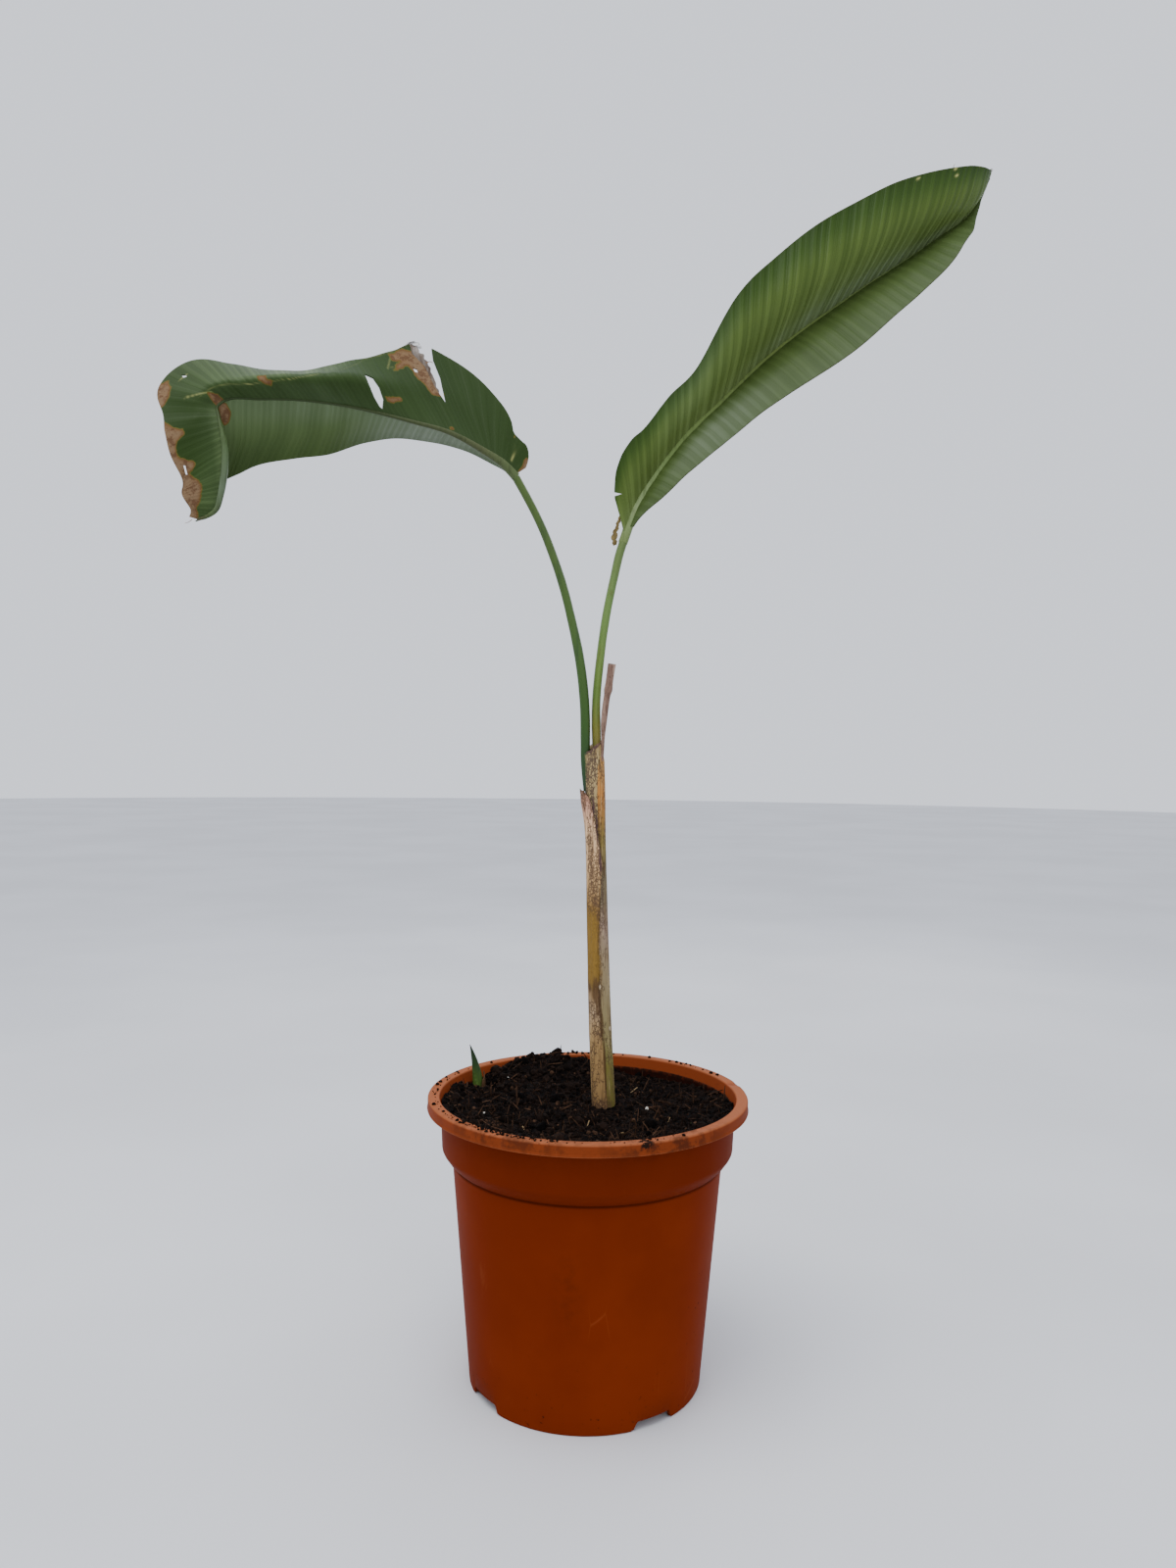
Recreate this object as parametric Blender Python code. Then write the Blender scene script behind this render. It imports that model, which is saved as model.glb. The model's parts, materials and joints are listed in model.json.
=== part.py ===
"""Heliconia in a nursery pot: one pseudostem with two leaves and a side shoot, built in metres with +Z up.

The origin is on the pot's axis, in the plane that the pot stands on. +X is to the right and -Y is to the
front. Every leaf is lofted from its veins: each vein starts on the midrib, runs out at a bearing in the
XZ plane (0 degrees is +X, 90 is +Z), and leans to the front by its pitch.
"""

import math

import bmesh
import bpy
import numpy as np
from mathutils import Vector

MM = 0.001
UP = (0.0, 0.0, 1.0)
CLEAR = 0.0003  # air between two pieces that touch

# Pot: a thin moulded nursery pot with a rolled rim, a wide collar and a ring foot with four notches.
POT_HEIGHT = 0.1859
RIM_RADIUS = 0.1050
RIM_DEPTH = 0.0077
COLLAR_RADIUS = 0.0960
COLLAR_FOOT = 0.1522
STEP_FOOT = 0.1444
STEP_RADIUS = 0.0882
BASE_RADIUS = 0.0760
POT_WALL = 0.0018
FOOT_HEIGHT = 0.0060
FLOOR = 0.0020
POT_SEGMENTS = 64
NOTCHES = 4
NOTCH_FIRST_DEG = -56.0
NOTCH_WIDTH = 0.030
DRAIN_RADIUS = 0.0050
DRAIN_REACH = 0.0560

# Compost: nearly full, with low mounds; each is (x, y, spread, rise).
SOIL_LEVEL = 0.1715
SOIL_MOUNDS = (
    (-0.030, 0.080, 0.026, 0.014),
    (-0.066, -0.058, 0.030, 0.009),
    (0.000, -0.088, 0.034, 0.006),
    (0.086, -0.010, 0.030, 0.004),
    (-0.070, 0.060, 0.016, -0.003),
    (0.055, 0.070, 0.028, -0.003),
)
SOIL_RINGS = 9
LUMP_RISE = 0.0009
LEVEL_REACH = 0.012  # level this far round the stem and the shoot
LEVEL_BLEND = 0.010

# Pseudostem: (height, x, y) of its axis and its radius there, from the compost to the fork.
STEM_AXIS = (
    (0.1722, 0.0110, 0.0130),
    (0.2260, 0.0080, 0.0130),
    (0.2840, 0.0057, 0.0128),
    (0.3570, 0.0031, 0.0125),
    (0.3850, 0.0016, 0.0123),
    (0.4185, -0.0002, 0.0120),
)
STEM_RADIUS = ((0.1722, 0.0062), (0.3000, 0.0053), (0.3570, 0.0051), (0.3850, 0.0060), (0.4185, 0.0065))
SHEATH_WALL = 0.0017
STEM_FOOT = 0.1722
FORK_HEIGHT = 0.4185
STEM_SIDES = 20

# Where the two sheaths meet at the front, and at the back, as angles round the stem from +X.
FRONT_SEAM = ((0.172, 292), (0.200, 283), (0.243, 270), (0.285, 271), (0.327, 296), (0.335, 312))
BACK_SEAM = 95.0
SEAM_GAP_DEG = 5.0
# Torn top edge of the old sheath, from its back edge (0) round the left to its front edge (1).
OLD_SHEATH_TOP = (
    (0.0, 0.360), (0.2, 0.374), (0.42, 0.3855), (0.6, 0.383), (0.7, 0.378), (0.85, 0.355), (1.0, 0.333),
)
FLAP_REACH = 0.0022
# Left edge of the dry sheath above the old one, and its top edge from front to back.
DRY_SHEATH_EDGE = ((0.335, 320), (0.357, 288), (0.382, 291), (0.411, 303))
DRY_SHEATH_TOP = ((0.0, 0.400), (0.25, 0.4105), (0.4, 0.4112), (0.6, 0.404), (1.0, 0.392))

# Stalks: (x, y, z, radius) in millimetres from foot to tip.
LEFT_PETIOLE = (
    (-3.8, 12.0, 418.8, 3.1),
    (-4.2, 11.9, 434.4, 3.2),
    (-8.9, 11.0, 473.1, 3.3),
    (-14.0, 10.2, 496.2, 3.2),
    (-20.1, 8.9, 519.1, 3.1),
    (-28.0, 7.4, 541.7, 3.0),
    (-34.2, 6.4, 556.6, 2.9),
    (-40.9, 5.4, 570.0, 2.9),
    (-46.7, 4.7, 580.4, 2.9),
    (-51.6, 4.0, 588.8, 3.0),
)
RIGHT_PETIOLE = (
    (2.7, 12.4, 418.8, 2.4),
    (2.2, 12.9, 440.0, 2.8),
    (4.7, 14.3, 473.6, 2.9),
    (8.9, 16.1, 505.0, 2.9),
    (13.6, 18.1, 528.6, 2.9),
    (16.6, 19.3, 542.5, 3.0),
    (18.8, 20.0, 549.8, 3.0),
)
DRY_PETIOLE = (
    (7.0, 8.8, 411.8, 0.9),
    (7.2, 8.8, 419.5, 1.2),
    (7.6, 8.8, 430.0, 1.9),
    (8.8, 9.0, 442.2, 2.1),
    (10.9, 9.2, 456.0, 2.5),
    (12.5, 9.4, 468.4, 2.6),
)
STALK_SIDES = 12

# Blades: about 0.38 m (right) and 0.28 m (left) long from foot to tip.
BLADE_THICKNESS = 0.0040
MIDRIB_SIDES = 8
# Midribs: (x, y, z) in millimetres.
RIGHT_MIDRIB = (
    (18.8, 20.0, 549.8),
    (27.0, 21.4, 572.3),
    (41.0, 24.0, 596.5),
    (59.3, 27.4, 621.3),
    (83.8, 31.8, 646.7),
    (115.2, 37.4, 678.4),
    (173.1, 47.6, 724.4),
    (231.7, 57.7, 766.5),
    (259.2, 62.4, 789.1),
    (266.2, 63.6, 801.2),
    (274.5, 65.0, 818.8),
)
LEFT_MIDRIB = (
    (-51.6, 4.0, 588.8),
    (-60.5, 1.9, 597.6),
    (-71.7, -0.5, 604.5),
    (-94.1, -5.3, 615.0),
    (-117.4, -10.4, 620.2),
    (-160.5, -20.0, 627.4),
    (-184.8, -24.7, 628.8),
    (-208.6, -29.5, 627.7),
    (-231.1, -34.0, 624.6),
    (-234.4, -36.0, 620.7),
    (-232.8, -39.0, 613.9),
    (-227.9, -42.0, 592.2),
    (-228.7, -42.0, 577.3),
    (-238.6, -40.0, 556.7),
    (-249.6, -38.0, 550.3),
)

# Veins: (place along the midrib, length mm, bearing at foot, at tip, pitch at foot, at tip, fold).
# The fold is the place along the vein where the foot's direction gives way to the tip's.
RIGHT_UPPER = (
    (0.00, 6, 98, 98, 10, 0, 0.45),
    (0.01, 23, 106, 106, 11, 0, 0.45),
    (0.02, 35, 103, 104, 12, 0, 0.45),
    (0.035, 42, 100, 100, 16, -1, 0.45),
    (0.06, 45, 95, 96, 20, -2, 0.45),
    (0.10, 41, 92, 94, 25, -5, 0.45),
    (0.17, 42, 86, 92, 30, -8, 0.45),
    (0.24, 42, 82, 90, 32, -10, 0.45),
    (0.32, 70, 78, 88, 34, -10, 0.45),
    (0.40, 77, 74, 86, 35, -12, 0.45),
    (0.50, 81, 68, 83, 35, -12, 0.45),
    (0.60, 81, 62, 80, 35, -12, 0.45),
    (0.70, 75, 57, 77, 33, -12, 0.45),
    (0.80, 61, 54, 74, 30, -12, 0.45),
    (0.88, 42, 55, 76, 25, -10, 0.45),
    (0.94, 22, 58, 80, 20, -8, 0.45),
    (1.00, 2, 62, 90, 0, 0, 0.45),
)
RIGHT_LOWER = (
    (0.00, 2, 0, -10, 60, 50, 0.45),
    (0.04, 7, -10, -20, 62, 45, 0.45),
    (0.10, 20, -25, -35, 60, 40, 0.45),
    (0.17, 26, -38, -44, 56, 35, 0.45),
    (0.24, 30, -44, -50, 52, 30, 0.45),
    (0.32, 33, -46, -52, 50, 28, 0.45),
    (0.40, 39, -46, -52, 48, 28, 0.45),
    (0.50, 46, -46, -52, 48, 28, 0.45),
    (0.60, 45, -46, -52, 50, 30, 0.45),
    (0.70, 41, -46, -50, 54, 34, 0.45),
    (0.80, 32, -40, -46, 60, 42, 0.45),
    (0.88, 14, -30, -38, 66, 50, 0.45),
    (0.94, 3, -10, -20, 70, 60, 0.45),
    (1.00, 1, 40, 30, 0, 0, 0.45),
)
LEFT_UPPER = (
    (0.00, 14, 62, 66, -20, -35, 0.50),
    (0.01, 21, 72, 74, -20, -34, 0.50),
    (0.02, 31, 88, 88, -20, -32, 0.50),
    (0.04, 50, 95, 95, -20, -30, 0.50),
    (0.09, 72, 108, 106, -18, -28, 0.50),
    (0.15, 80, 116, 115, -15, -25, 0.50),
    (0.22, 65, 120, 119, -8, -25, 0.50),
    (0.30, 51, 122, 120, 18, -34, 0.50),
    (0.37, 50, 124, 122, 46, -52, 0.50),
    (0.45, 50, 127, 125, 62, -64, 0.46),
    (0.53, 52, 131, 130, 64, -60, 0.38),
    (0.60, 52, 134, 131, 60, -48, 0.30),
    (0.66, 51, 147, 141, 48, -34, 0.24),
    (0.69, 48, 166, 162, 34, -26, 0.24),
    (0.715, 36, 184, 178, 20, -16, 0.30),
    (0.74, 34, 196, 192, 10, -8, 0.45),
    (0.77, 34, 204, 206, 4, -4, 0.50),
    (0.81, 31, 212, 213, 2, -4, 0.50),
    (0.86, 28, 202, 204, 0, -2, 0.50),
    (0.91, 21, 186, 188, 0, 0, 0.50),
    (0.955, 12, 172, 172, 0, 0, 0.50),
    (1.00, 2, 160, 160, 0, 0, 0.50),
)
LEFT_LOWER = (
    (0.00, 5, 175, 172, -80, -80, 0.50),
    (0.05, 17, 170, 168, -80, -80, 0.50),
    (0.12, 25, 168, 165, -79, -79, 0.50),
    (0.20, 37, 178, 172, -74, -76, 0.50),
    (0.27, 33, 198, 192, -68, -72, 0.50),
    (0.34, 33, 222, 215, -60, -60, 0.50),
    (0.42, 38, 245, 232, -46, -42, 0.50),
    (0.50, 40, 256, 236, -28, -26, 0.50),
    (0.58, 44, 262, 240, -16, -14, 0.50),
    (0.65, 51, 265, 250, -12, -12, 0.50),
    (0.69, 50, 267, 266, -12, -12, 0.50),
)
# The hanging tip's other half, tucked behind the half that shows.
TUCKED_HALF = (
    (0.80, 8, 215, 205, -75, -10, 0.30),
    (0.86, 15, 215, 205, -75, -5, 0.30),
    (0.92, 14, 205, 200, -70, 0, 0.30),
    (0.98, 5, 200, 195, -40, 0, 0.30),
)
LEAF_FOLD = 0.702  # the hanging tip begins here
TIP_START = 0.708
LOWER_HALF_END = 0.690
BLADE_END = 0.985
SOFT_FOLD = 0.30  # how much of a vein the bend takes
SHARP_FOLD = 0.12

# Rents in the left blade: corners (x, z) in millimetres of each wedge that is missing.
WIDE_RENT = (
    (-128.0, 684.0), (-113.0, 688.0), (-108.6, 668.8), (-103.0, 655.4), (-97.8, 635.4),
    (-105.1, 646.0), (-113.4, 662.4), (-122.3, 671.6),
)
NARROW_RENT = (
    (-146.2, 646.0), (-141.3, 644.5), (-137.3, 638.6), (-134.9, 631.6),
    (-135.8, 626.2), (-137.2, 627.2), (-140.2, 632.1), (-143.5, 640.0),
)

# Side shoot: a rolled spear with a papery scale, on the left at the back of the pot.
SHOOT_PLACE = (-0.0762, 0.0440)
SHOOT_FOOT = 0.1725
SHOOT_HEIGHT = 0.033
SHOOT_RADIUS = 0.0037
SHOOT_LEAN = -0.0062
SHOOT_TAPER = 0.93  # share of its radius that it loses by its tip
SCALE_HEIGHT = 0.014
SCALE_WALL = 0.0010
SCALE_FLARE = 0.0010
SCALE_HALF_DEG = 50.0

SKIN = {
    "terracotta": ((0.50, 0.15, 0.055), 0.48),
    "compost": ((0.020, 0.012, 0.008), 0.95),
    "stem": ((0.46, 0.36, 0.22), 0.70),
    "dry": ((0.33, 0.19, 0.12), 0.80),
    "stalk": ((0.13, 0.24, 0.05), 0.45),
    "leaf": ((0.045, 0.13, 0.025), 0.40),
}


def clear_scene():
    """Removes every object of the scene."""
    for thing in list(bpy.data.objects):
        bpy.data.objects.remove(thing, do_unlink=True)


def skin(name):
    """The material of this name, made once."""
    found = bpy.data.materials.get(name)
    if found:
        return found
    colour, roughness = SKIN[name]
    made = bpy.data.materials.new(name)
    made.use_nodes = True
    shader = made.node_tree.nodes["Principled BSDF"]
    shader.inputs["Base Color"].default_value = (*colour, 1.0)
    shader.inputs["Roughness"].default_value = roughness
    return made


def add_object(name, points, faces, material=None):
    """An object of these points and faces, with its faces turned outwards."""
    shape = bmesh.new()
    corners = [shape.verts.new(Vector(point)) for point in points]
    for face in faces:
        shape.faces.new([corners[i] for i in face])
    bmesh.ops.recalc_face_normals(shape, faces=shape.faces)
    mesh = bpy.data.meshes.new(name)
    shape.to_mesh(mesh)
    shape.free()
    mesh.shade_smooth()
    mesh.set_sharp_from_angle(angle=math.radians(40))
    thing = bpy.data.objects.new(name, mesh)
    if material:
        mesh.materials.append(skin(material))
    bpy.context.collection.objects.link(thing)
    return thing


def smooth(table, places):
    """Values at these places, on a smooth curve through the table's rows of (place, value, ...)."""
    rows = np.asarray(table, float)
    knots, values = rows[:, 0], rows[:, 1:]
    gaps = np.diff(knots)[:, None]
    slopes = np.diff(values, axis=0) / gaps
    turns = np.vstack([slopes[:1], slopes[:1].repeat(len(knots) - 2, axis=0), slopes[-1:]])
    turns[1:-1] = (gaps[1:] * slopes[:-1] + gaps[:-1] * slopes[1:]) / (gaps[1:] + gaps[:-1])
    at = np.clip(np.atleast_1d(np.asarray(places, float)), knots[0], knots[-1])
    i = np.clip(np.searchsorted(knots, at, side="right") - 1, 0, len(knots) - 2)
    t = ((at - knots[i]) / np.diff(knots)[i])[:, None]
    rise = (3 - 2 * t) * t * t
    bend = gaps[i] * (t * (1 - t) ** 2 * turns[i] - t * t * (1 - t) * turns[i + 1])
    return (1 - rise) * values[i] + rise * values[i + 1] + bend


def linear(table, place):
    """The value at this place, on straight lines through the table's rows of (place, value)."""
    return float(np.interp(place, [row[0] for row in table], [row[1] for row in table]))


def along(points):
    """These points as rows of (share of the length, x, y, z)."""
    places = np.asarray(points, float)
    runs = np.linalg.norm(np.diff(places[:, :3], axis=0), axis=1)
    shares = np.concatenate([[0.0], np.cumsum(runs)]) / runs.sum()
    return np.column_stack([shares, places])


def unit(vectors):
    """Each vector at length 1."""
    return vectors / np.linalg.norm(vectors, axis=-1, keepdims=True)


def lathe(name, profile, segments, material):
    """A turned solid. The profile is (radius, height) from the axis out and round to the axis again."""
    points, rings = [], []
    for radius, height in profile:
        if radius == 0:
            rings.append([len(points)] * segments)
            points.append((0.0, 0.0, height))
            continue
        rings.append(list(range(len(points), len(points) + segments)))
        for k in range(segments):
            angle = 2 * math.pi * k / segments
            points.append((radius * math.cos(angle), radius * math.sin(angle), height))
    faces = []
    for low, high in zip(rings[:-1], rings[1:]):
        for k in range(segments):
            n = (k + 1) % segments
            face = dict.fromkeys((low[k], low[n], high[n], high[k]))
            faces.append(tuple(face))
    return add_object(name, points, faces, material)


def closed_grid(name, front, back, material=None):
    """A solid between two grids of points of the same shape, closed round its edge."""
    rows, columns, _ = front.shape
    points = np.concatenate([front.reshape(-1, 3), back.reshape(-1, 3)])
    shift = rows * columns
    faces = []
    for r in range(rows - 1):
        for c in range(columns - 1):
            a = r * columns + c
            b, d, e = a + 1, a + columns, a + columns + 1
            faces += [(a, b, e, d), (shift + a, shift + d, shift + e, shift + b)]
    rim = list(range(columns))
    rim += [r * columns + columns - 1 for r in range(1, rows)]
    rim += [(rows - 1) * columns + c for c in range(columns - 2, -1, -1)]
    rim += [r * columns for r in range(rows - 2, 0, -1)]
    for a, b in zip(rim, rim[1:] + rim[:1]):
        faces.append((a, shift + a, shift + b, b))
    return add_object(name, points, faces, material)


def limb(name, path, radii, sides, material=None, foot_axis=None, tip_axis=None):
    """A round limb along a path. Its flat ends face along the path, or along the axis given."""
    directions = unit(np.gradient(path, axis=0))
    directions[0] = directions[0] if foot_axis is None else foot_axis
    directions[-1] = directions[-1] if tip_axis is None else tip_axis
    points = []
    for centre, ahead, radius in zip(path, directions, radii):
        side = unit(np.cross(ahead, [0.0, 1.0, 0.0]))
        up = np.cross(side, ahead)
        for k in range(sides):
            angle = 2 * math.pi * k / sides
            points.append(centre + radius * (math.cos(angle) * side + math.sin(angle) * up))
    faces = [tuple(range(sides)), tuple(range(len(points) - sides, len(points)))]
    for i in range(len(path) - 1):
        for k in range(sides):
            a, b = i * sides + k, i * sides + (k + 1) % sides
            faces.append((a, b, b + sides, a + sides))
    return add_object(name, points, faces, material)


def stalk(name, table, count, material, midrib=None):
    """A leaf stalk through the table's (x, y, z, radius) rows in millimetres, up to its leaf's midrib."""
    rows = smooth(along(table), np.linspace(0, 1, count)) * MM
    tip_axis = None
    if midrib:
        tip_axis = midrib_start(midrib)
        rows[-1, :3] -= CLEAR * tip_axis
    return limb(name, rows[:, :3], rows[:, 3], STALK_SIDES, material, UP, tip_axis)


def midrib_start(midrib):
    """The direction in which a midrib leaves its stalk."""
    near, far = smooth(along(midrib), (0.0, 0.01))
    return unit(far - near)


def hide_helper(thing):
    """Keeps a cutter out of the render."""
    thing.hide_render = True
    thing.display_type = "WIRE"


def cut(target, cutters):
    """Cuts the cutters out of the target."""
    for cutter in cutters:
        hide_helper(cutter)
        tool = target.modifiers.new("cut_" + cutter.name, "BOOLEAN")
        tool.operation = "DIFFERENCE"
        tool.solver = "EXACT"
        tool.object = cutter


def keep_largest_shell(mesh):
    """Fills any hollow that joining sealed, and drops loose scraps."""
    shape = bmesh.new()
    shape.from_mesh(mesh)
    unseen, shells = set(shape.verts), []
    while unseen:
        shell, edge = set(), [unseen.pop()]
        while edge:
            corner = edge.pop()
            shell.add(corner)
            near = {link.other_vert(corner) for link in corner.link_edges} & unseen
            unseen -= near
            edge += near
        shells.append(shell)
    largest = max(shells, key=len)
    scraps = [corner for shell in shells if shell is not largest for corner in shell]
    bmesh.ops.delete(shape, geom=scraps, context="VERTS")
    shape.to_mesh(mesh)
    shape.free()


def joined(name, pieces, material):
    """One body from pieces that overlap."""
    first, rest = pieces[0], pieces[1:]
    group = bpy.data.collections.new(name + "_pieces")
    for piece in rest:
        group.objects.link(piece)
    tool = first.modifiers.new("join", "BOOLEAN")
    tool.operation = "UNION"
    tool.solver = "EXACT"
    tool.operand_type = "COLLECTION"
    tool.collection = group
    bpy.context.view_layer.update()
    graph = bpy.context.evaluated_depsgraph_get()
    mesh = bpy.data.meshes.new_from_object(first.evaluated_get(graph))
    for piece in pieces:
        bpy.data.objects.remove(piece, do_unlink=True)
    bpy.data.collections.remove(group)
    mesh.name = name
    keep_largest_shell(mesh)
    mesh.materials.clear()
    mesh.materials.append(skin(material))
    mesh.shade_smooth()
    mesh.set_sharp_from_angle(angle=math.radians(40))
    thing = bpy.data.objects.new(name, mesh)
    bpy.context.collection.objects.link(thing)
    return thing


def make_pot():
    """The pot, turned in one piece and notched round its foot."""
    rim_foot = POT_HEIGHT - RIM_DEPTH
    floor_top = FOOT_HEIGHT + FLOOR
    profile = [
        (0.0, FOOT_HEIGHT),
        (BASE_RADIUS - 1.4 * POT_WALL, FOOT_HEIGHT),
        (BASE_RADIUS - 1.4 * POT_WALL, 0.0),
        (BASE_RADIUS, 0.0),
        (STEP_RADIUS, STEP_FOOT),
        (STEP_RADIUS + 0.0030, STEP_FOOT + 0.0026),
        (COLLAR_RADIUS - 0.0021, COLLAR_FOOT - 0.0016),
        (COLLAR_RADIUS - 0.0009, COLLAR_FOOT + 0.0010),
        (COLLAR_RADIUS, rim_foot - 0.0005),
        (RIM_RADIUS - 0.0006, rim_foot),
        (RIM_RADIUS, rim_foot + 0.0010),
        (RIM_RADIUS, POT_HEIGHT - 0.0022),
        (RIM_RADIUS - 0.0007, POT_HEIGHT - 0.0006),
        (RIM_RADIUS - 0.0024, POT_HEIGHT),
        (RIM_RADIUS - 0.0070, POT_HEIGHT),
        (RIM_RADIUS - 0.0079, POT_HEIGHT - 0.0010),
        (COLLAR_RADIUS - POT_WALL, rim_foot - 0.0010),
        (COLLAR_RADIUS - 0.0009 - POT_WALL, COLLAR_FOOT),
        (STEP_RADIUS - POT_WALL, STEP_FOOT),
        (BASE_RADIUS + 0.0007 - POT_WALL, floor_top),
        (0.0, floor_top),
    ]
    pot = lathe("pot", profile, POT_SEGMENTS, "terracotta")
    cutters = []
    for i in range(NOTCHES):
        angle = math.radians(NOTCH_FIRST_DEG + 360 * i / NOTCHES)
        outward = np.array([math.cos(angle), math.sin(angle), 0.0])
        sideways = np.array([-math.sin(angle), math.cos(angle), 0.0])
        foot, top = NOTCH_WIDTH / 2, NOTCH_WIDTH / 2 - 0.003
        outline = ((-foot, -0.002), (foot, -0.002), (top, FOOT_HEIGHT - 0.0004), (-top, FOOT_HEIGHT - 0.0004))
        corners = [
            outward * reach + sideways * across + np.array([0.0, 0.0, height])
            for reach in (BASE_RADIUS - 0.012, BASE_RADIUS + 0.004)
            for across, height in outline
        ]
        sides = [(k, (k + 1) % 4, 4 + (k + 1) % 4, 4 + k) for k in range(4)]
        cutters.append(add_object(f"notch_cutter_{i}", corners, [(0, 1, 2, 3), (4, 5, 6, 7), *sides]))
        hole = outward * DRAIN_REACH
        ends = np.array([[hole[0], hole[1], FOOT_HEIGHT - 0.002], [hole[0], hole[1], floor_top + 0.002]])
        cutters.append(limb(f"drain_cutter_{i}", ends, [DRAIN_RADIUS] * 2, 12))
    cut(pot, cutters)
    return pot


def soil_height(x, y):
    """The compost's surface, levelled round the stem and the side shoot."""
    height = SOIL_LEVEL
    for centre_x, centre_y, spread, lift in SOIL_MOUNDS:
        away = (x - centre_x) ** 2 + (y - centre_y) ** 2
        height += lift * math.exp(-away / (2 * spread**2))
    lumps = math.sin(210 * x + 1.1) * math.sin(190 * y + 0.4) + 0.7 * math.sin(430 * x - 310 * y)
    height += LUMP_RISE * lumps
    _, stem_x, stem_y = STEM_AXIS[0]
    for centre_x, centre_y, level in ((stem_x, stem_y, STEM_FOOT), (*SHOOT_PLACE, SHOOT_FOOT)):
        near = math.hypot(x - centre_x, y - centre_y)
        blend = min(max((near - LEVEL_REACH) / LEVEL_BLEND, 0.0), 1.0)
        height = blend * height + (1 - blend) * (level - CLEAR)
    return height


def make_compost():
    """The compost: one plug of the pot's inner shape with an uneven top."""
    count = POT_SEGMENTS
    angles = [2 * math.pi * k / count for k in range(count)]
    slope = 0.0009 / (0.1775 - COLLAR_FOOT)
    inner = COLLAR_RADIUS - 0.0009 - POT_WALL - CLEAR
    rings = []
    for share in [(i + 1) / SOIL_RINGS for i in range(SOIL_RINGS)]:
        ring = []
        for angle in angles:
            reach = inner * share
            height = soil_height(reach * math.cos(angle), reach * math.sin(angle))
            if share == 1.0:
                reach += slope * (height - COLLAR_FOOT)
            ring.append((reach * math.cos(angle), reach * math.sin(angle), height))
        rings.append(ring)
    floor = FOOT_HEIGHT + FLOOR + CLEAR
    for radius, height in (
        (inner, COLLAR_FOOT),
        (STEP_RADIUS - POT_WALL - 1.5 * CLEAR, STEP_FOOT),
        (BASE_RADIUS + 0.0007 - POT_WALL - CLEAR, floor),
    ):
        rings.append([(radius * math.cos(a), radius * math.sin(a), height) for a in angles])
    points = [(0.0, 0.0, soil_height(0.0, 0.0))]
    points += [point for ring in rings for point in ring]
    points.append((0.0, 0.0, floor))
    faces = []
    for k in range(count):
        n = (k + 1) % count
        faces.append((0, 1 + k, 1 + n))
        for i in range(len(rings) - 1):
            low, high = 1 + i * count, 1 + (i + 1) * count
            faces.append((low + k, high + k, high + n, low + n))
        last = 1 + (len(rings) - 1) * count
        faces.append((last + k, len(points) - 1, last + n))
    return add_object("compost", points, faces, "compost")


def stem_centre(height):
    """The pseudostem's axis at this height."""
    x, y = smooth(STEM_AXIS, height)[0]
    return np.array([x, y, height])


def stem_radius(height):
    """The radius of the pseudostem's heart at this height."""
    return float(smooth(STEM_RADIUS, height)[0, 0])


def make_stem():
    """The heart of the pseudostem, from a flat cut on the compost to its fork."""
    heights = np.linspace(STEM_FOOT, FORK_HEIGHT, 14)
    path = np.array([stem_centre(h) for h in heights])
    radii = [stem_radius(h) for h in heights]
    return limb("stem", path, radii, STEM_SIDES, "stem", UP, UP)


def make_sheath(name, top, first_angle, last_angle, flap, material):
    """A sheath wrapped round the stem between two edges, with its top edge by the table."""
    columns, rows = 13, 18
    inside, outside = np.empty((rows, columns, 3)), np.empty((rows, columns, 3))
    for c in range(columns):
        share = c / (columns - 1)
        reach = linear(top, share)
        for r in range(rows):
            t = r / (rows - 1)
            height = STEM_FOOT + (reach - STEM_FOOT) * t
            angle = math.radians(first_angle(height) + share * (last_angle(height) - first_angle(height)))
            out = np.array([math.cos(angle), math.sin(angle), 0.0])
            lean = flap * max(0.0, (t - 0.86) / 0.14) ** 2 * max(0.0, -math.cos(angle)) ** 2
            start = stem_centre(height) + out * (stem_radius(height) + CLEAR + lean)
            inside[r, c] = start
            outside[r, c] = start + out * SHEATH_WALL
    return closed_grid(name, outside, inside, material)


def make_sheaths():
    """The old torn sheath on the left and the dry leaf's sheath on the right."""
    def front_edge(height):
        return linear(FRONT_SEAM, height)

    def dry_edge(height):
        if height > DRY_SHEATH_EDGE[0][0]:
            return linear(DRY_SHEATH_EDGE, height)
        return front_edge(height) + SEAM_GAP_DEG

    def dry_back_edge(height):
        return 360 + BACK_SEAM - SEAM_GAP_DEG

    make_sheath("old_sheath", OLD_SHEATH_TOP, lambda height: BACK_SEAM, front_edge, FLAP_REACH, "stem")
    make_sheath("dry_sheath", DRY_SHEATH_TOP, dry_edge, dry_back_edge, 0.0, "dry")


def make_stalks():
    """The two green leaf stalks and the broken dry one."""
    stalk("left_petiole", LEFT_PETIOLE, 24, "stalk", LEFT_MIDRIB)
    stalk("right_petiole", RIGHT_PETIOLE, 18, "stalk", RIGHT_MIDRIB)
    stalk("dry_petiole", DRY_PETIOLE, 10, "dry")


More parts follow.
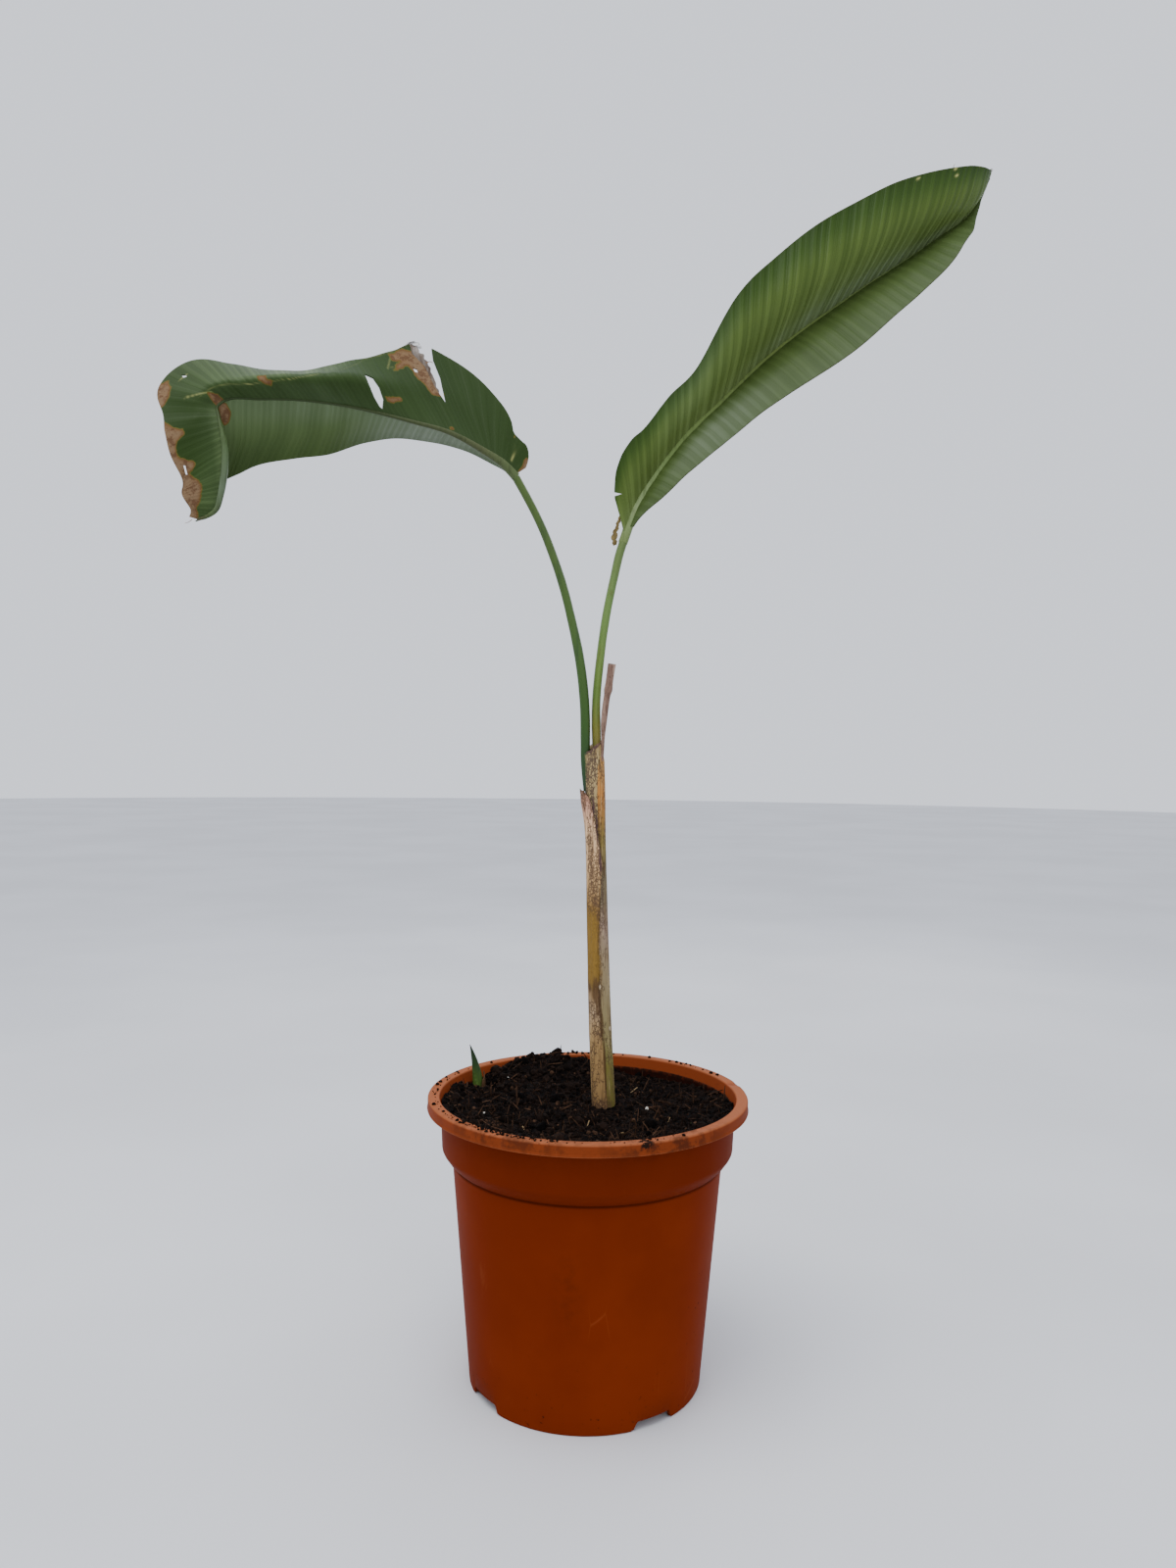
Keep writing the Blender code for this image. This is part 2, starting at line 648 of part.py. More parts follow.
def vein_grid(midrib, table, start, end, rows, columns, softness):
    """Points of one half of a blade: a row for each vein, running out from the midrib."""
    places = np.linspace(start, end, rows)
    feet = smooth(along(midrib), places) * MM
    veins = smooth(table, places)
    length, fold = veins[:, :1] * MM, veins[:, 5:6]
    steps = 60
    reach = np.linspace(0, 1, steps + 1)[None]
    turn = np.clip((reach - fold + softness) / (2 * softness), 0, 1)
    turn = turn * turn * (3 - 2 * turn)
    bearing = np.radians(veins[:, 1:2] * (1 - turn) + veins[:, 2:3] * turn)
    pitch = np.radians(veins[:, 3:4] * (1 - turn) + veins[:, 4:5] * turn)
    level = np.cos(pitch)
    heading = np.stack([level * np.cos(bearing), -np.sin(pitch), level * np.sin(bearing)], axis=-1)
    path = np.cumsum((heading[:, 1:] + heading[:, :-1]) / (2 * steps), axis=1)
    path = np.concatenate([np.zeros((rows, 1, 3)), path], axis=1)
    chosen = np.round(np.linspace(0, steps, columns)).astype(int)
    return feet[:, None] + path[:, chosen] * length[:, :, None]


def thicken(name, grid):
    """The blade's half as a solid, half its thickness to each side of the grid."""
    across = unit(np.cross(np.gradient(grid, axis=0), np.gradient(grid, axis=1)))
    return closed_grid(name, grid + across * BLADE_THICKNESS / 2, grid - across * BLADE_THICKNESS / 2)


def midrib_limb(name, midrib, start, end, foot_radius, tip_radius, count):
    """The thick rib that carries a blade."""
    path = smooth(along(midrib), np.linspace(start, end, count)) * MM
    foot_axis = midrib_start(midrib) if start == 0.0 else None
    return limb(name, path, np.linspace(foot_radius, tip_radius, count), MIDRIB_SIDES, None, foot_axis)


def prism(name, outline):
    """A cutter from front to back through the left blade, with this (x, z) outline in millimetres."""
    count = len(outline)
    points = [(x * MM, y, z * MM) for y in (-0.09, 0.09) for x, z in outline]
    sides = [(k, (k + 1) % count, count + (k + 1) % count, count + k) for k in range(count)]
    return add_object(name, points, [tuple(range(count)), tuple(range(count, 2 * count)), *sides])


def make_right_leaf():
    """The upright right leaf."""
    pieces = [
        thicken("upper_half", vein_grid(RIGHT_MIDRIB, RIGHT_UPPER, 0.012, BLADE_END, 30, 7, SOFT_FOLD)),
        thicken("lower_half", vein_grid(RIGHT_MIDRIB, RIGHT_LOWER, 0.03, 0.93, 26, 6, SOFT_FOLD)),
        midrib_limb("rib", RIGHT_MIDRIB, 0.0, 1.0, 0.0031, 0.0021, 26),
    ]
    joined("right_leaf", pieces, "leaf")


def make_left_leaf():
    """The drooping left leaf, in two nodes that part where it folds over."""
    pieces = [
        thicken("upper_half", vein_grid(LEFT_MIDRIB, LEFT_UPPER, 0.006, LEAF_FOLD, 28, 11, SHARP_FOLD)),
        thicken("lower_half", vein_grid(LEFT_MIDRIB, LEFT_LOWER, 0.02, LOWER_HALF_END, 22, 6, SHARP_FOLD)),
        midrib_limb("rib", LEFT_MIDRIB, 0.0, LEAF_FOLD - 0.008, 0.0031, 0.0021, 22),
    ]
    leaf = joined("left_leaf", pieces, "leaf")
    cut(leaf, [prism("wide_rent_cutter", WIDE_RENT), prism("narrow_rent_cutter", NARROW_RENT)])
    pieces = [
        thicken("showing_half", vein_grid(LEFT_MIDRIB, LEFT_UPPER, TIP_START, BLADE_END, 22, 7, SHARP_FOLD)),
        thicken("tucked_half", vein_grid(LEFT_MIDRIB, TUCKED_HALF, 0.81, 0.97, 8, 6, SOFT_FOLD)),
        midrib_limb("rib", LEFT_MIDRIB, TIP_START + 0.006, 1.0, 0.0021, 0.0021, 16),
    ]
    joined("left_leaf_tip", pieces, "leaf")


def shoot_centre(share):
    """The side shoot's axis at this share of its height."""
    x, y = SHOOT_PLACE
    return np.array([x + SHOOT_LEAN * share * share, y, SHOOT_FOOT + SHOOT_HEIGHT * share])


def shoot_radius(share):
    """The side shoot's radius at this share of its height."""
    return SHOOT_RADIUS * (1 - SHOOT_TAPER * share**1.6)


def make_shoot():
    """The side shoot and its papery scale."""
    shares = np.linspace(0, 1, 9)
    path = np.array([shoot_centre(t) for t in shares])
    limb("shoot", path, [shoot_radius(t) for t in shares], STALK_SIDES, "leaf", UP)
    rows, columns = 6, 7
    inside, outside = np.empty((rows, columns, 3)), np.empty((rows, columns, 3))
    for c in range(columns):
        angle = math.radians(SCALE_HALF_DEG * (2 * c / (columns - 1) - 1))
        out = np.array([math.cos(angle), math.sin(angle), 0.0])
        peak = SCALE_HEIGHT * (1 - 0.5 * abs(2 * c / (columns - 1) - 1))
        for r in range(rows):
            t = peak * r / (rows - 1) / SHOOT_HEIGHT
            flare = SCALE_FLARE * (r / (rows - 1)) ** 2
            inside[r, c] = shoot_centre(t) + out * (shoot_radius(t) + CLEAR + flare)
            outside[r, c] = inside[r, c] + out * SCALE_WALL
    closed_grid("shoot_scale", outside, inside, "dry")


def main():
    """Builds the plant and its pot."""
    clear_scene()
    make_pot()
    make_compost()
    make_stem()
    make_sheaths()
    make_stalks()
    make_right_leaf()
    make_left_leaf()
    make_shoot()


main()
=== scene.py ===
"""Looks of a heliconia in a nursery pot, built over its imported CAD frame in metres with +Z up."""
import json
import logging
import math
from collections.abc import Callable, Sequence
from dataclasses import dataclass, field
from enum import Enum
from typing import Any

import bmesh
import bpy
import numpy as np
from mathutils import Matrix, Vector

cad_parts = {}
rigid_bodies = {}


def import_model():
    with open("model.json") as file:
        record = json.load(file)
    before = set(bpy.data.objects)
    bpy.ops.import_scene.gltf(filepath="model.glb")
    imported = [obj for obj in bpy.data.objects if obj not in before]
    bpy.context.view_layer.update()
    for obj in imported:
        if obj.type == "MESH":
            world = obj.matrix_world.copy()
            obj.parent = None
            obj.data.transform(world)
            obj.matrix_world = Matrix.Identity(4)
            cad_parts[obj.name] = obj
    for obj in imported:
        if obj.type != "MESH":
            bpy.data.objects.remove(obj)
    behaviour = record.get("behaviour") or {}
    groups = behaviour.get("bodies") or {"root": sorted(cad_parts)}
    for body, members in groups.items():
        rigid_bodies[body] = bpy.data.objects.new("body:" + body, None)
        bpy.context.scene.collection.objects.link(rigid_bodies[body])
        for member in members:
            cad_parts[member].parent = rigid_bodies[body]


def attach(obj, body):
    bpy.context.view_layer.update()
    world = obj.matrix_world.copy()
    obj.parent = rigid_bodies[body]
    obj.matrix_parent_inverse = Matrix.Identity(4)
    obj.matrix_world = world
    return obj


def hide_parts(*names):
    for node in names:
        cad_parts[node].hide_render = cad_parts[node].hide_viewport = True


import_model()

LOG = logging.getLogger("heliconia")
MM = 0.001
CLEAR = 0.0003
Array = np.ndarray
Socket = bpy.types.NodeSocket
Thing = bpy.types.Object
Rows = tuple[tuple[float, ...], ...]
Colour = tuple[float, float, float]
Stops = tuple[tuple[float, Colour], ...]


class Slot(Enum):
    """The record's material slots."""

    POT = "terracotta"
    SOIL = "compost"
    STEM = "stem"
    DRY = "dry"
    STALK = "stalk"
    LEAF = "leaf"


def linear_rgba(colour: Colour) -> tuple[float, float, float, float]:
    """Turns a display colour of 0 to 255 into the linear one that shaders take.

    Args:
        colour: red, green and blue as seen on a screen.

    Returns:
        Linear red, green, blue and a full alpha.
    """
    shares = [channel / 255 for channel in colour]
    linear = [c / 12.92 if c <= 0.04045 else ((c + 0.055) / 1.055) ** 2.4 for c in shares]
    return (linear[0], linear[1], linear[2], 1.0)


# Curves and noise


def smooth(table: Rows | Array, places: Array | float) -> Array:
    """Values at these places, on a smooth curve through the table.

    Args:
        table: rows of (place, value, ...).
        places: where the values are wanted.

    Returns:
        One row of values for each place.
    """
    rows = np.asarray(table, float)
    knots, values = rows[:, 0], rows[:, 1:]
    gaps = np.diff(knots)[:, None]
    slopes = np.diff(values, axis=0) / gaps
    turns = np.vstack([slopes[:1], slopes[:1].repeat(len(knots) - 2, axis=0), slopes[-1:]])
    turns[1:-1] = (gaps[1:] * slopes[:-1] + gaps[:-1] * slopes[1:]) / (gaps[1:] + gaps[:-1])
    at = np.clip(np.atleast_1d(np.asarray(places, float)), knots[0], knots[-1])
    i = np.clip(np.searchsorted(knots, at, side="right") - 1, 0, len(knots) - 2)
    t = ((at - knots[i]) / np.diff(knots)[i])[:, None]
    rise = (3 - 2 * t) * t * t
    bend = gaps[i] * (t * (1 - t) ** 2 * turns[i] - t * t * (1 - t) * turns[i + 1])
    return (1 - rise) * values[i] + rise * values[i + 1] + bend


def straight(table: Rows, places: Array | float) -> Array:
    """Values at these places, on straight lines through the table's rows of (place, value)."""
    return np.interp(places, [row[0] for row in table], [row[1] for row in table])


def along(points: Rows) -> Array:
    """These points as rows of (share of the length, x, y, z, ...).

    Args:
        points: rows of x, y, z and more, in order.

    Returns:
        The rows with the share of the length in front.
    """
    places = np.asarray(points, float)
    runs = np.linalg.norm(np.diff(places[:, :3], axis=0), axis=1)
    shares = np.concatenate([[0.0], np.cumsum(runs)]) / runs.sum()
    return np.column_stack([shares, places])


def unit(vectors: Array) -> Array:
    """Each vector at length 1."""
    return vectors / np.maximum(np.linalg.norm(vectors, axis=-1, keepdims=True), 1e-12)


def eased(low: float, high: float, values: Array | float) -> Array:
    """0 below low, 1 above high, and a smooth step between them."""
    t = np.clip((np.asarray(values, float) - low) / (high - low), 0, 1)
    return t * t * (3 - 2 * t)


def wander(values: Array, spacing: float, seed: int) -> Array:
    """Smooth random values from -1 to 1 along one line.

    Args:
        values: places on the line.
        spacing: distance between random knots.
        seed: picks the pattern.

    Returns:
        An array of the same shape as values.
    """
    knots = np.random.default_rng(seed).uniform(-1, 1, 4096)
    at = np.asarray(values, float) / spacing + 512
    low = np.floor(at).astype(int)
    t = at - low
    t = t * t * (3 - 2 * t)
    return knots[low % 4096] * (1 - t) + knots[(low + 1) % 4096] * t


def mottle(x: Array, y: Array, spacing: float, seed: int, octaves: int = 3) -> Array:
    """Smooth random values from about -1 to 1 over a plane.

    Args:
        x: first coordinate of each point.
        y: second coordinate of each point.
        spacing: size of the largest lumps.
        seed: picks the pattern.
        octaves: how many finer layers are added.

    Returns:
        An array of the same shape as x.
    """
    total, weight = np.zeros(np.shape(x)), 0.0
    for octave in range(octaves):
        lattice = np.random.default_rng(seed + octave).uniform(-1, 1, (256, 256))
        step = spacing / 2**octave
        a, b = np.asarray(x) / step + 97, np.asarray(y) / step + 61
        i, j = np.floor(a).astype(int), np.floor(b).astype(int)
        s, t = a - i, b - j
        s, t = s * s * (3 - 2 * s), t * t * (3 - 2 * t)
        near = lattice[i % 256, j % 256] * (1 - s) + lattice[(i + 1) % 256, j % 256] * s
        far = lattice[i % 256, (j + 1) % 256] * (1 - s) + lattice[(i + 1) % 256, (j + 1) % 256] * s
        total = total + (near * (1 - t) + far * t) / 2**octave
        weight += 1 / 2**octave
    return total / weight


# Node graphs


class Graph:
    """A node tree being written, with short calls that add and link its nodes."""

    def __init__(self, tree: bpy.types.NodeTree) -> None:
        """Keeps the tree."""
        self.tree = tree

    @staticmethod
    def socket(sockets: Any, key: str | int) -> Socket:
        """The enabled socket of this name, or the socket at this place.

        Args:
            sockets: a node's inputs or outputs.
            key: a name or a place.

        Returns:
            The socket.
        """
        if isinstance(key, int):
            return sockets[key]
        return next(found for found in sockets if found.name == key and found.enabled)

    def add(self, kind: str, inputs: dict[Any, Any] | None = None, **settings: Any) -> bpy.types.Node:
        """Adds a node.

        Args:
            kind: the node's type name.
            inputs: values or sockets, by input name or place.
            **settings: the node's own properties.

        Returns:
            The node.
        """
        node = self.tree.nodes.new(kind)
        for name, value in settings.items():
            setattr(node, name, value)
        for key, value in (inputs or {}).items():
            target = self.socket(node.inputs, key)
            if isinstance(value, bpy.types.Node):
                value = next(found for found in value.outputs if found.enabled)
            if isinstance(value, Socket):
                self.tree.links.new(value, target)
            else:
                target.default_value = value
        return node

    def out(self, kind: str, inputs: dict[Any, Any] | None = None, **settings: Any) -> Socket:
        """Adds a node and returns its first enabled output."""
        node = self.add(kind, inputs, **settings)
        return next(found for found in node.outputs if found.enabled)

    def math(self, operation: str, *values: Any) -> Socket:
        """A Math node over these values."""
        return self.out("ShaderNodeMath", dict(enumerate(values)), operation=operation)

    def times(self, first: Any, second: Any) -> Socket:
        """The product of two values."""
        return self.math("MULTIPLY", first, second)

    def plus(self, first: Any, second: Any) -> Socket:
        """The sum of two values."""
        return self.math("ADD", first, second)

    def most(self, first: Any, second: Any) -> Socket:
        """The larger of two values."""
        return self.math("MAXIMUM", first, second)


class ShaderGraph(Graph):
    """A material's node tree, with the patterns that the finishes share."""

    def __init__(self, material: bpy.types.Material) -> None:
        """Starts from the material's own principled shader.

        Args:
            material: a new material with nodes.
        """
        super().__init__(material.node_tree)
        self.shader = material.node_tree.nodes["Principled BSDF"]
        self.place = self.add("ShaderNodeTexCoord").outputs["Object"]

    def noise(self, scale: float, detail: float = 3.0, rough: float = 0.5, stretch: Colour | None = None,
              warp: float = 0.0) -> Socket:
        """Noise of about 0 to 1 over the object.

        Args:
            scale: lumps to a metre.
            detail: how many finer layers.
            rough: how strong they are.
            stretch: scale of each axis before the noise.
            warp: distortion.

        Returns:
            The noise value.
        """
        return self.out("ShaderNodeTexNoise", {
            "Vector": self.stretched(stretch), "Scale": scale, "Detail": detail, "Roughness": rough,
            "Distortion": warp,
        })

    def stretched(self, stretch: Colour | None) -> Socket:
        """Object coordinates, with each axis scaled by this if it is given.

        Args:
            stretch: scale of each axis, or nothing.

        Returns:
            The coordinates.
        """
        if not stretch:
            return self.place
        return self.out("ShaderNodeMapping", {"Vector": self.place, "Scale": stretch})

    def line_noise(self, along_it: Any, scale: float, detail: float = 1.0) -> Socket:
        """Noise along one value."""
        return self.out("ShaderNodeTexNoise", {"W": along_it, "Scale": scale, "Detail": detail},
                        noise_dimensions="1D")

    def cells(self, scale: float, stretch: Colour) -> Socket:
        """Distance to the edges of scattered cells."""
        return self.out("ShaderNodeTexVoronoi", {"Vector": self.stretched(stretch), "Scale": scale},
                        feature="DISTANCE_TO_EDGE")

    def ramp(self, value: Any, stops: Stops) -> Socket:
        """A colour by this value, through stops of (place, display colour).

        Args:
            value: place on the ramp.
            stops: pairs of place and colour.

        Returns:
            The colour.
        """
        node = self.add("ShaderNodeValToRGB", {"Fac": value})
        band = node.color_ramp
        while len(band.elements) < len(stops):
            band.elements.new(0.5)
        for element, (place, _) in zip(band.elements, stops):
            element.position = place
        for element, (_, colour) in zip(band.elements, stops):
            element.color = linear_rgba(colour)
        return node.outputs["Color"]

    def step(self, value: Any, low: float, high: float, to_low: float = 0.0, to_high: float = 1.0) -> Socket:
        """The value eased from low to high.

        Args:
            value: what is eased.
            low: where it starts.
            high: where it ends.
            to_low: result at the start.
            to_high: result at the end.

        Returns:
            The eased value.
        """
        return self.out("ShaderNodeMapRange", {
            "Value": value, "From Min": low, "From Max": high, "To Min": to_low, "To Max": to_high,
        }, interpolation_type="SMOOTHSTEP")

    def mix(self, share: Any, first: Any, second: Any) -> Socket:
        """Two colours mixed; a plain colour is a display colour.

        Args:
            share: how much of the second.
            first: a socket or a colour.
            second: a socket or a colour.

        Returns:
            The colour.
        """
        ends = {
            key: linear_rgba(value) if isinstance(value, tuple) else value
            for key, value in (("A", first), ("B", second))
        }
        return self.out("ShaderNodeMix", {"Factor": share, **ends}, data_type="RGBA")

    def tint(self, under: Any, share: Any, most: float, colour: Colour) -> Socket:
        """The colour laid over another by this share of its most."""
        return self.mix(self.times(share, most), under, colour)

    def swing(self, noise: Any, size: float) -> Socket:
        """Noise of 0 to 1 turned into noise of this size to both sides of 0."""
        return self.times(self.math("SUBTRACT", noise, 0.5), size)

    def attribute(self, name: str) -> Socket:
        """A painted field of the mesh."""
        return self.add("ShaderNodeAttribute", attribute_name=name).outputs["Fac"]

    def axes(self, place: Any = None) -> list[Socket]:
        """The coordinate's three numbers."""
        node = self.add("ShaderNodeSeparateXYZ", {"Vector": self.place if place is None else place})
        return list(node.outputs)

    def relief(self, height: Any, strength: float, depth: float) -> Socket:
        """A normal bumped by this share of a relief of this depth in metres."""
        return self.out("ShaderNodeBump", {"Height": height, "Strength": strength, "Distance": depth})

    def finish(self, colour: Any, rough: Any = None, normal: Any = None) -> None:
        """Links the colour, the roughness and the normal into the shader.

        Args:
            colour: the base colour.
            rough: roughness, or nothing.
            normal: the relief, or nothing.
        """
        for key, value in (("Base Color", colour), ("Roughness", rough), ("Normal", normal)):
            if value is not None:
                self.tree.links.new(value, self.shader.inputs[key])


# Finishes


@dataclass(frozen=True)
class Finish:
    """What every finish has: its name, roughness and shine."""

    name: str
    rough: float = 0.6
    shine: float = 0.15

    def paint(self, g: ShaderGraph) -> None:
        """Writes the finish's own nodes."""
        raise NotImplementedError

    def material(self) -> bpy.types.Material:
        """The material of this finish, made once.

        Returns:
            The material.
        """
        known = bpy.data.materials.get(self.name)
        if known:
            return known
        made = bpy.data.materials.new(self.name)
        made.use_nodes = True
        graph = ShaderGraph(made)
        graph.shader.inputs["Roughness"].default_value = self.rough
        graph.shader.inputs["Specular IOR Level"].default_value = self.shine
        self.paint(graph)
        return made


@dataclass(frozen=True)
class PotPlastic(Finish):
    """Terracotta-coloured moulded plastic, scuffed and dusted with soil."""

    body: Colour = (112, 37, 4)
    # Pale colour of the painted highlight on the rim.
    light: Colour = (150, 88, 56)
    dark: Colour = (102, 31, 2)
    soil: Colour = (34, 22, 17)

    def paint(self, g: ShaderGraph) -> None:
        """A mottled body, a painted highlight on the rim, painted shade at the collar, the shoulder groove
        and under the rim, an inner wall darkened by painted shade and soil, pale scuffs, dried splashes and
        the fine grain of the mould.

        Args:
            g: the material's graph.
        """
        _, _, height = g.axes()
        cloud = g.noise(9, 4, 0.6)
        colour = g.mix(g.step(cloud, 0.35, 0.68), self.dark, self.body)
        # Painted highlight: the rim's outer face, its top and the thin line at its lower edge are lightened
        # toward the pale rim colour.
        rim = g.plus(g.step(height, 0.1776, 0.1786, 0.0, 0.22), g.step(height, 0.1846, 0.1857, 0.0, 0.6))
        edge = g.times(g.step(height, 0.1779, 0.1783), g.step(height, 0.1793, 0.1788))
        colour = g.mix(g.most(rim, g.times(edge, 0.55)), colour, self.light)
        # Painted shade: the groove at the shoulder, the collar and the band just under the rim are darkened
        # toward a deep red-brown.
        groove = g.times(g.step(height, 0.1422, 0.1434), g.step(height, 0.1448, 0.1443))
        collar = g.times(g.step(height, 0.144, 0.1452), g.step(height, 0.1784, 0.1776))
        under = g.times(g.step(height, 0.1735, 0.1772), g.step(height, 0.1784, 0.1776))
        groove = g.most(groove, g.times(under, 0.5))
        shade = g.most(g.times(groove, 0.8), g.times(collar, 0.22))
        colour = g.mix(shade, colour, (62, 16, 2))
        # The inner wall is darker, partly painted shade and partly soil, and darker still in a ragged band
        # down toward the compost.
        inner = g.times(g.attribute("inside"), g.step(g.noise(70, 4, 0.7), 0.2, 0.5, 0.7, 1.0))
        colour = g.tint(colour, inner, 0.85, (70, 27, 13))
        inner_shade_and_soil = g.plus(height, g.swing(g.noise(260, 5, 0.75), 0.016))
        inner_shade_and_soil = g.times(g.step(inner_shade_and_soil, 0.18, 0.1772), g.attribute("inside"))
        colour = g.tint(colour, inner_shade_and_soil, 0.9, (24, 14, 10))
        scuff = g.noise(60, 5, 0.65, (1, 1, 0.25), 0.6)
        scuffs = g.step(scuff, 0.64, 0.74)
        colour = g.tint(colour, scuffs, 0.16, (150, 84, 56))
        scratch = g.cells(46, (1, 1, 0.16))
        fine = g.step(scratch, 0.012, 0.0)
        fine = g.times(fine, g.step(g.noise(22, 2), 0.56, 0.7))
        colour = g.tint(colour, fine, 0.22, (140, 76, 48))
        smudge = g.times(g.attribute("smudge"), g.step(g.noise(120, 5, 0.75), 0.42, 0.6))
        speck = g.step(g.noise(420, 2, 0.5), 0.68, 0.73)
        soiled = g.times(speck, g.attribute("dirt"))
        soiled = g.most(soiled, g.times(smudge, 0.75))
        colour = g.mix(soiled, colour, self.soil)
        grain = g.noise(900, 2, 0.5)
        swell = g.noise(30, 2, 0.5)
        height_map = g.plus(g.times(grain, 0.12), swell)
        rough = g.step(soiled, 0.0, 1.0, self.rough, 0.85)
        g.finish(colour, rough, g.relief(height_map, 0.25, 0.0006))


@dataclass(frozen=True)
class Peat(Finish):
    """Black-brown peat with fibres."""

    dark: Colour = (4, 3, 3)
    mid: Colour = (15, 10, 9)
    pale: Colour = (44, 31, 25)

    def paint(self, g: ShaderGraph) -> None:
        """Crumbly browns, a little paler on the tops of the relief.

        Args:
            g: the material's graph.
        """
        grain = g.noise(260, 6, 0.7)
        colour = g.ramp(grain, ((0.3, self.dark), (0.52, self.mid), (0.68, self.pale), (0.8, self.mid)))
        damp = g.step(g.noise(38, 3, 0.6), 0.4, 0.62)
        colour = g.tint(colour, damp, 0.7, self.dark)
        fibre = g.step(g.cells(150, (1.0, 0.28, 1.0)), 0.03, 0.0)
        colour = g.tint(colour, fibre, 0.35, (66, 48, 36))
        relief = g.plus(grain, g.times(g.noise(900, 2), 0.3))
        g.finish(colour, None, g.relief(relief, 0.9, 0.0016))


@dataclass(frozen=True)
class Grit(Finish):
    """Loose grains, each a little lighter or darker by its own tone."""

    dark: Colour = (5, 4, 4)
    pale: Colour = (34, 24, 19)

    def paint(self, g: ShaderGraph) -> None:
        """A colour by the grain's tone, speckled.

        Args:
            g: the material's graph.
        """
        share = g.times(g.attribute("tone"), g.step(g.noise(500, 3), 0.3, 0.7, 0.5, 1.2))
        colour = g.mix(g.math("MINIMUM", share, 1.0), self.dark, self.pale)
        g.finish(colour, None, g.relief(g.noise(1300, 3), 0.6, 0.0005))


@dataclass(frozen=True)
class LeafSkin(Finish):
    """One half of a blade: parallel veins, and colours that change from midrib to margin."""

    # Painted shade and painted light, from the midrib (0) to the margin (1).
    shaded: Stops = ((0, (44, 66, 22)), (1, (38, 70, 34)))
    lit: Stops = ((0, (92, 112, 66)), (1, (70, 104, 58)))
    veins: float = 130.0
    depth: float = 0.0007
    contrast: float = 0.34
    # Pale colour of the painted sheen, a reflection of the light painted into the colour.
    bloom: Colour = (112, 134, 104)
    edge: Colour = (58, 62, 26)
    # Dark colour of the painted shade.
    deep: Colour = (30, 47, 12)

    def share(self, g: ShaderGraph, place: Any) -> tuple[Any, Any, Any]:
        """How light the skin is along the midrib.

        Args:
            g: the material's tree.
            place: place along the midrib.

        Returns:
            The share of the lit colour, the veins alone and the broad bands alone.
        """
        drift = g.swing(g.noise(14, 2), 0.01)
        lane = g.plus(place, drift)
        broad = g.line_noise(lane, 30, 1)
        turn = g.plus(g.times(lane, self.veins * 2 * math.pi),
                          g.times(g.line_noise(lane, 30, 1), 5.0))
        vein = g.step(g.math("SINE", turn), -0.5, 0.95)
        hair = g.line_noise(lane, self.veins * 6, 1)
        vein = g.plus(g.times(vein, 0.65), g.times(hair, 0.35))
        patch = g.noise(24, 4, 0.6)
        total = g.times(g.step(broad, 0.32, 0.68), 0.2)
        for part, weight in ((vein, self.contrast), (patch, 0.72 - self.contrast)):
            total = g.plus(total, g.times(part, weight))
        return total, vein, broad

    def paint(self, g: ShaderGraph) -> None:
        """Veins, painted sheen, painted shade, sun scorch, creases and a thin edge.

        Args:
            g: the material's graph.
        """
        layout = g.add("ShaderNodeUVMap", uv_map="UVMap").outputs["UV"]
        place, across, _ = g.axes(layout)
        share, vein, broad = self.share(g, place)
        # The shaded and lit tones are painted shade and painted light, mixed by the veins and the mottle;
        # across the half they hold more light near the midrib and more shade toward the margin.
        colour = g.mix(share, g.ramp(across, self.shaded), g.ramp(across, self.lit))
        # Painted shade: darkens parts of the blade that stand in shade.
        colour = g.tint(colour, g.attribute("deep"), 0.62, self.deep)
        streaks = g.times(g.step(broad, 0.25, 0.75, 0.55, 1.0), g.step(vein, 0.2, 0.8, 0.6, 1.0))
        # Painted sheen: pale reflection near the midrib and on folds, streaked along the veins.
        colour = g.tint(colour, g.attribute("bloom"), streaks, self.bloom)
        colour = g.tint(colour, g.step(across, 0.984, 0.997), 0.6, self.edge)
        colour = g.tint(colour, g.attribute("crease"), 0.85, (170, 168, 104))
        ragged = g.noise(170, 5, 0.65)
        burn = g.plus(g.attribute("scorch"),
                          g.swing(ragged, 0.8))
        burnt = g.ramp(burn, (
            (0.34, (54, 68, 24)), (0.42, (84, 80, 30)), (0.5, (96, 72, 36)), (0.58, (100, 74, 46)),
            (0.72, (108, 84, 58)), (1, (114, 92, 68)),
        ))
        mottled = g.mix(g.step(g.noise(240, 5, 0.78), 0.48, 0.58), burnt, (78, 52, 34))
        burnt = g.mix(g.step(burn, 0.5, 0.65, 0.0, 0.75), burnt, mottled)
        colour = g.mix(g.step(burn, 0.34, 0.42), colour, burnt)
        relief = g.plus(vein, g.times(ragged, g.step(burn, 0.4, 0.6, 0.05, 1.2)))
        rough = g.step(burn, 0.38, 0.5, self.rough, 0.85)
        g.finish(colour, rough, g.relief(relief, 0.5, self.depth))


@dataclass(frozen=True)
class Stalk(Finish):
    """Green stalk or rib with fine lengthwise lines."""

    stops: Stops = ((0, (86, 112, 52)), (0.45, (70, 104, 56)), (1, (62, 98, 44)))
    streak: Colour = (36, 60, 34)
    scar: Colour = (104, 84, 48)
    scars: float = 0.25

    def paint(self, g: ShaderGraph) -> None:
        """A colour by the place along the stalk, streaked and lightly scarred.

        Args:
            g: the material's graph.
        """
        colour = g.ramp(g.attribute("along"), self.stops)
        lines = g.noise(420, 3, 0.6, (1, 1, 0.035))
        colour = g.tint(colour, g.step(lines, 0.48, 0.7), 0.5, self.streak)
        patch = g.step(g.noise(90, 4, 0.7, (1, 1, 0.3)), 0.58, 0.7)
        colour = g.tint(colour, patch, self.scars, self.scar)
        g.finish(colour, None, g.relief(lines, 0.5, 0.0006))


SHEATH_TINTS: dict[str, Colour] = {
    "golden": (134, 103, 42), "bruise": (82, 58, 34), "purple": (74, 50, 54), "bleach": (206, 188, 158),
    "green": (50, 78, 44),
}


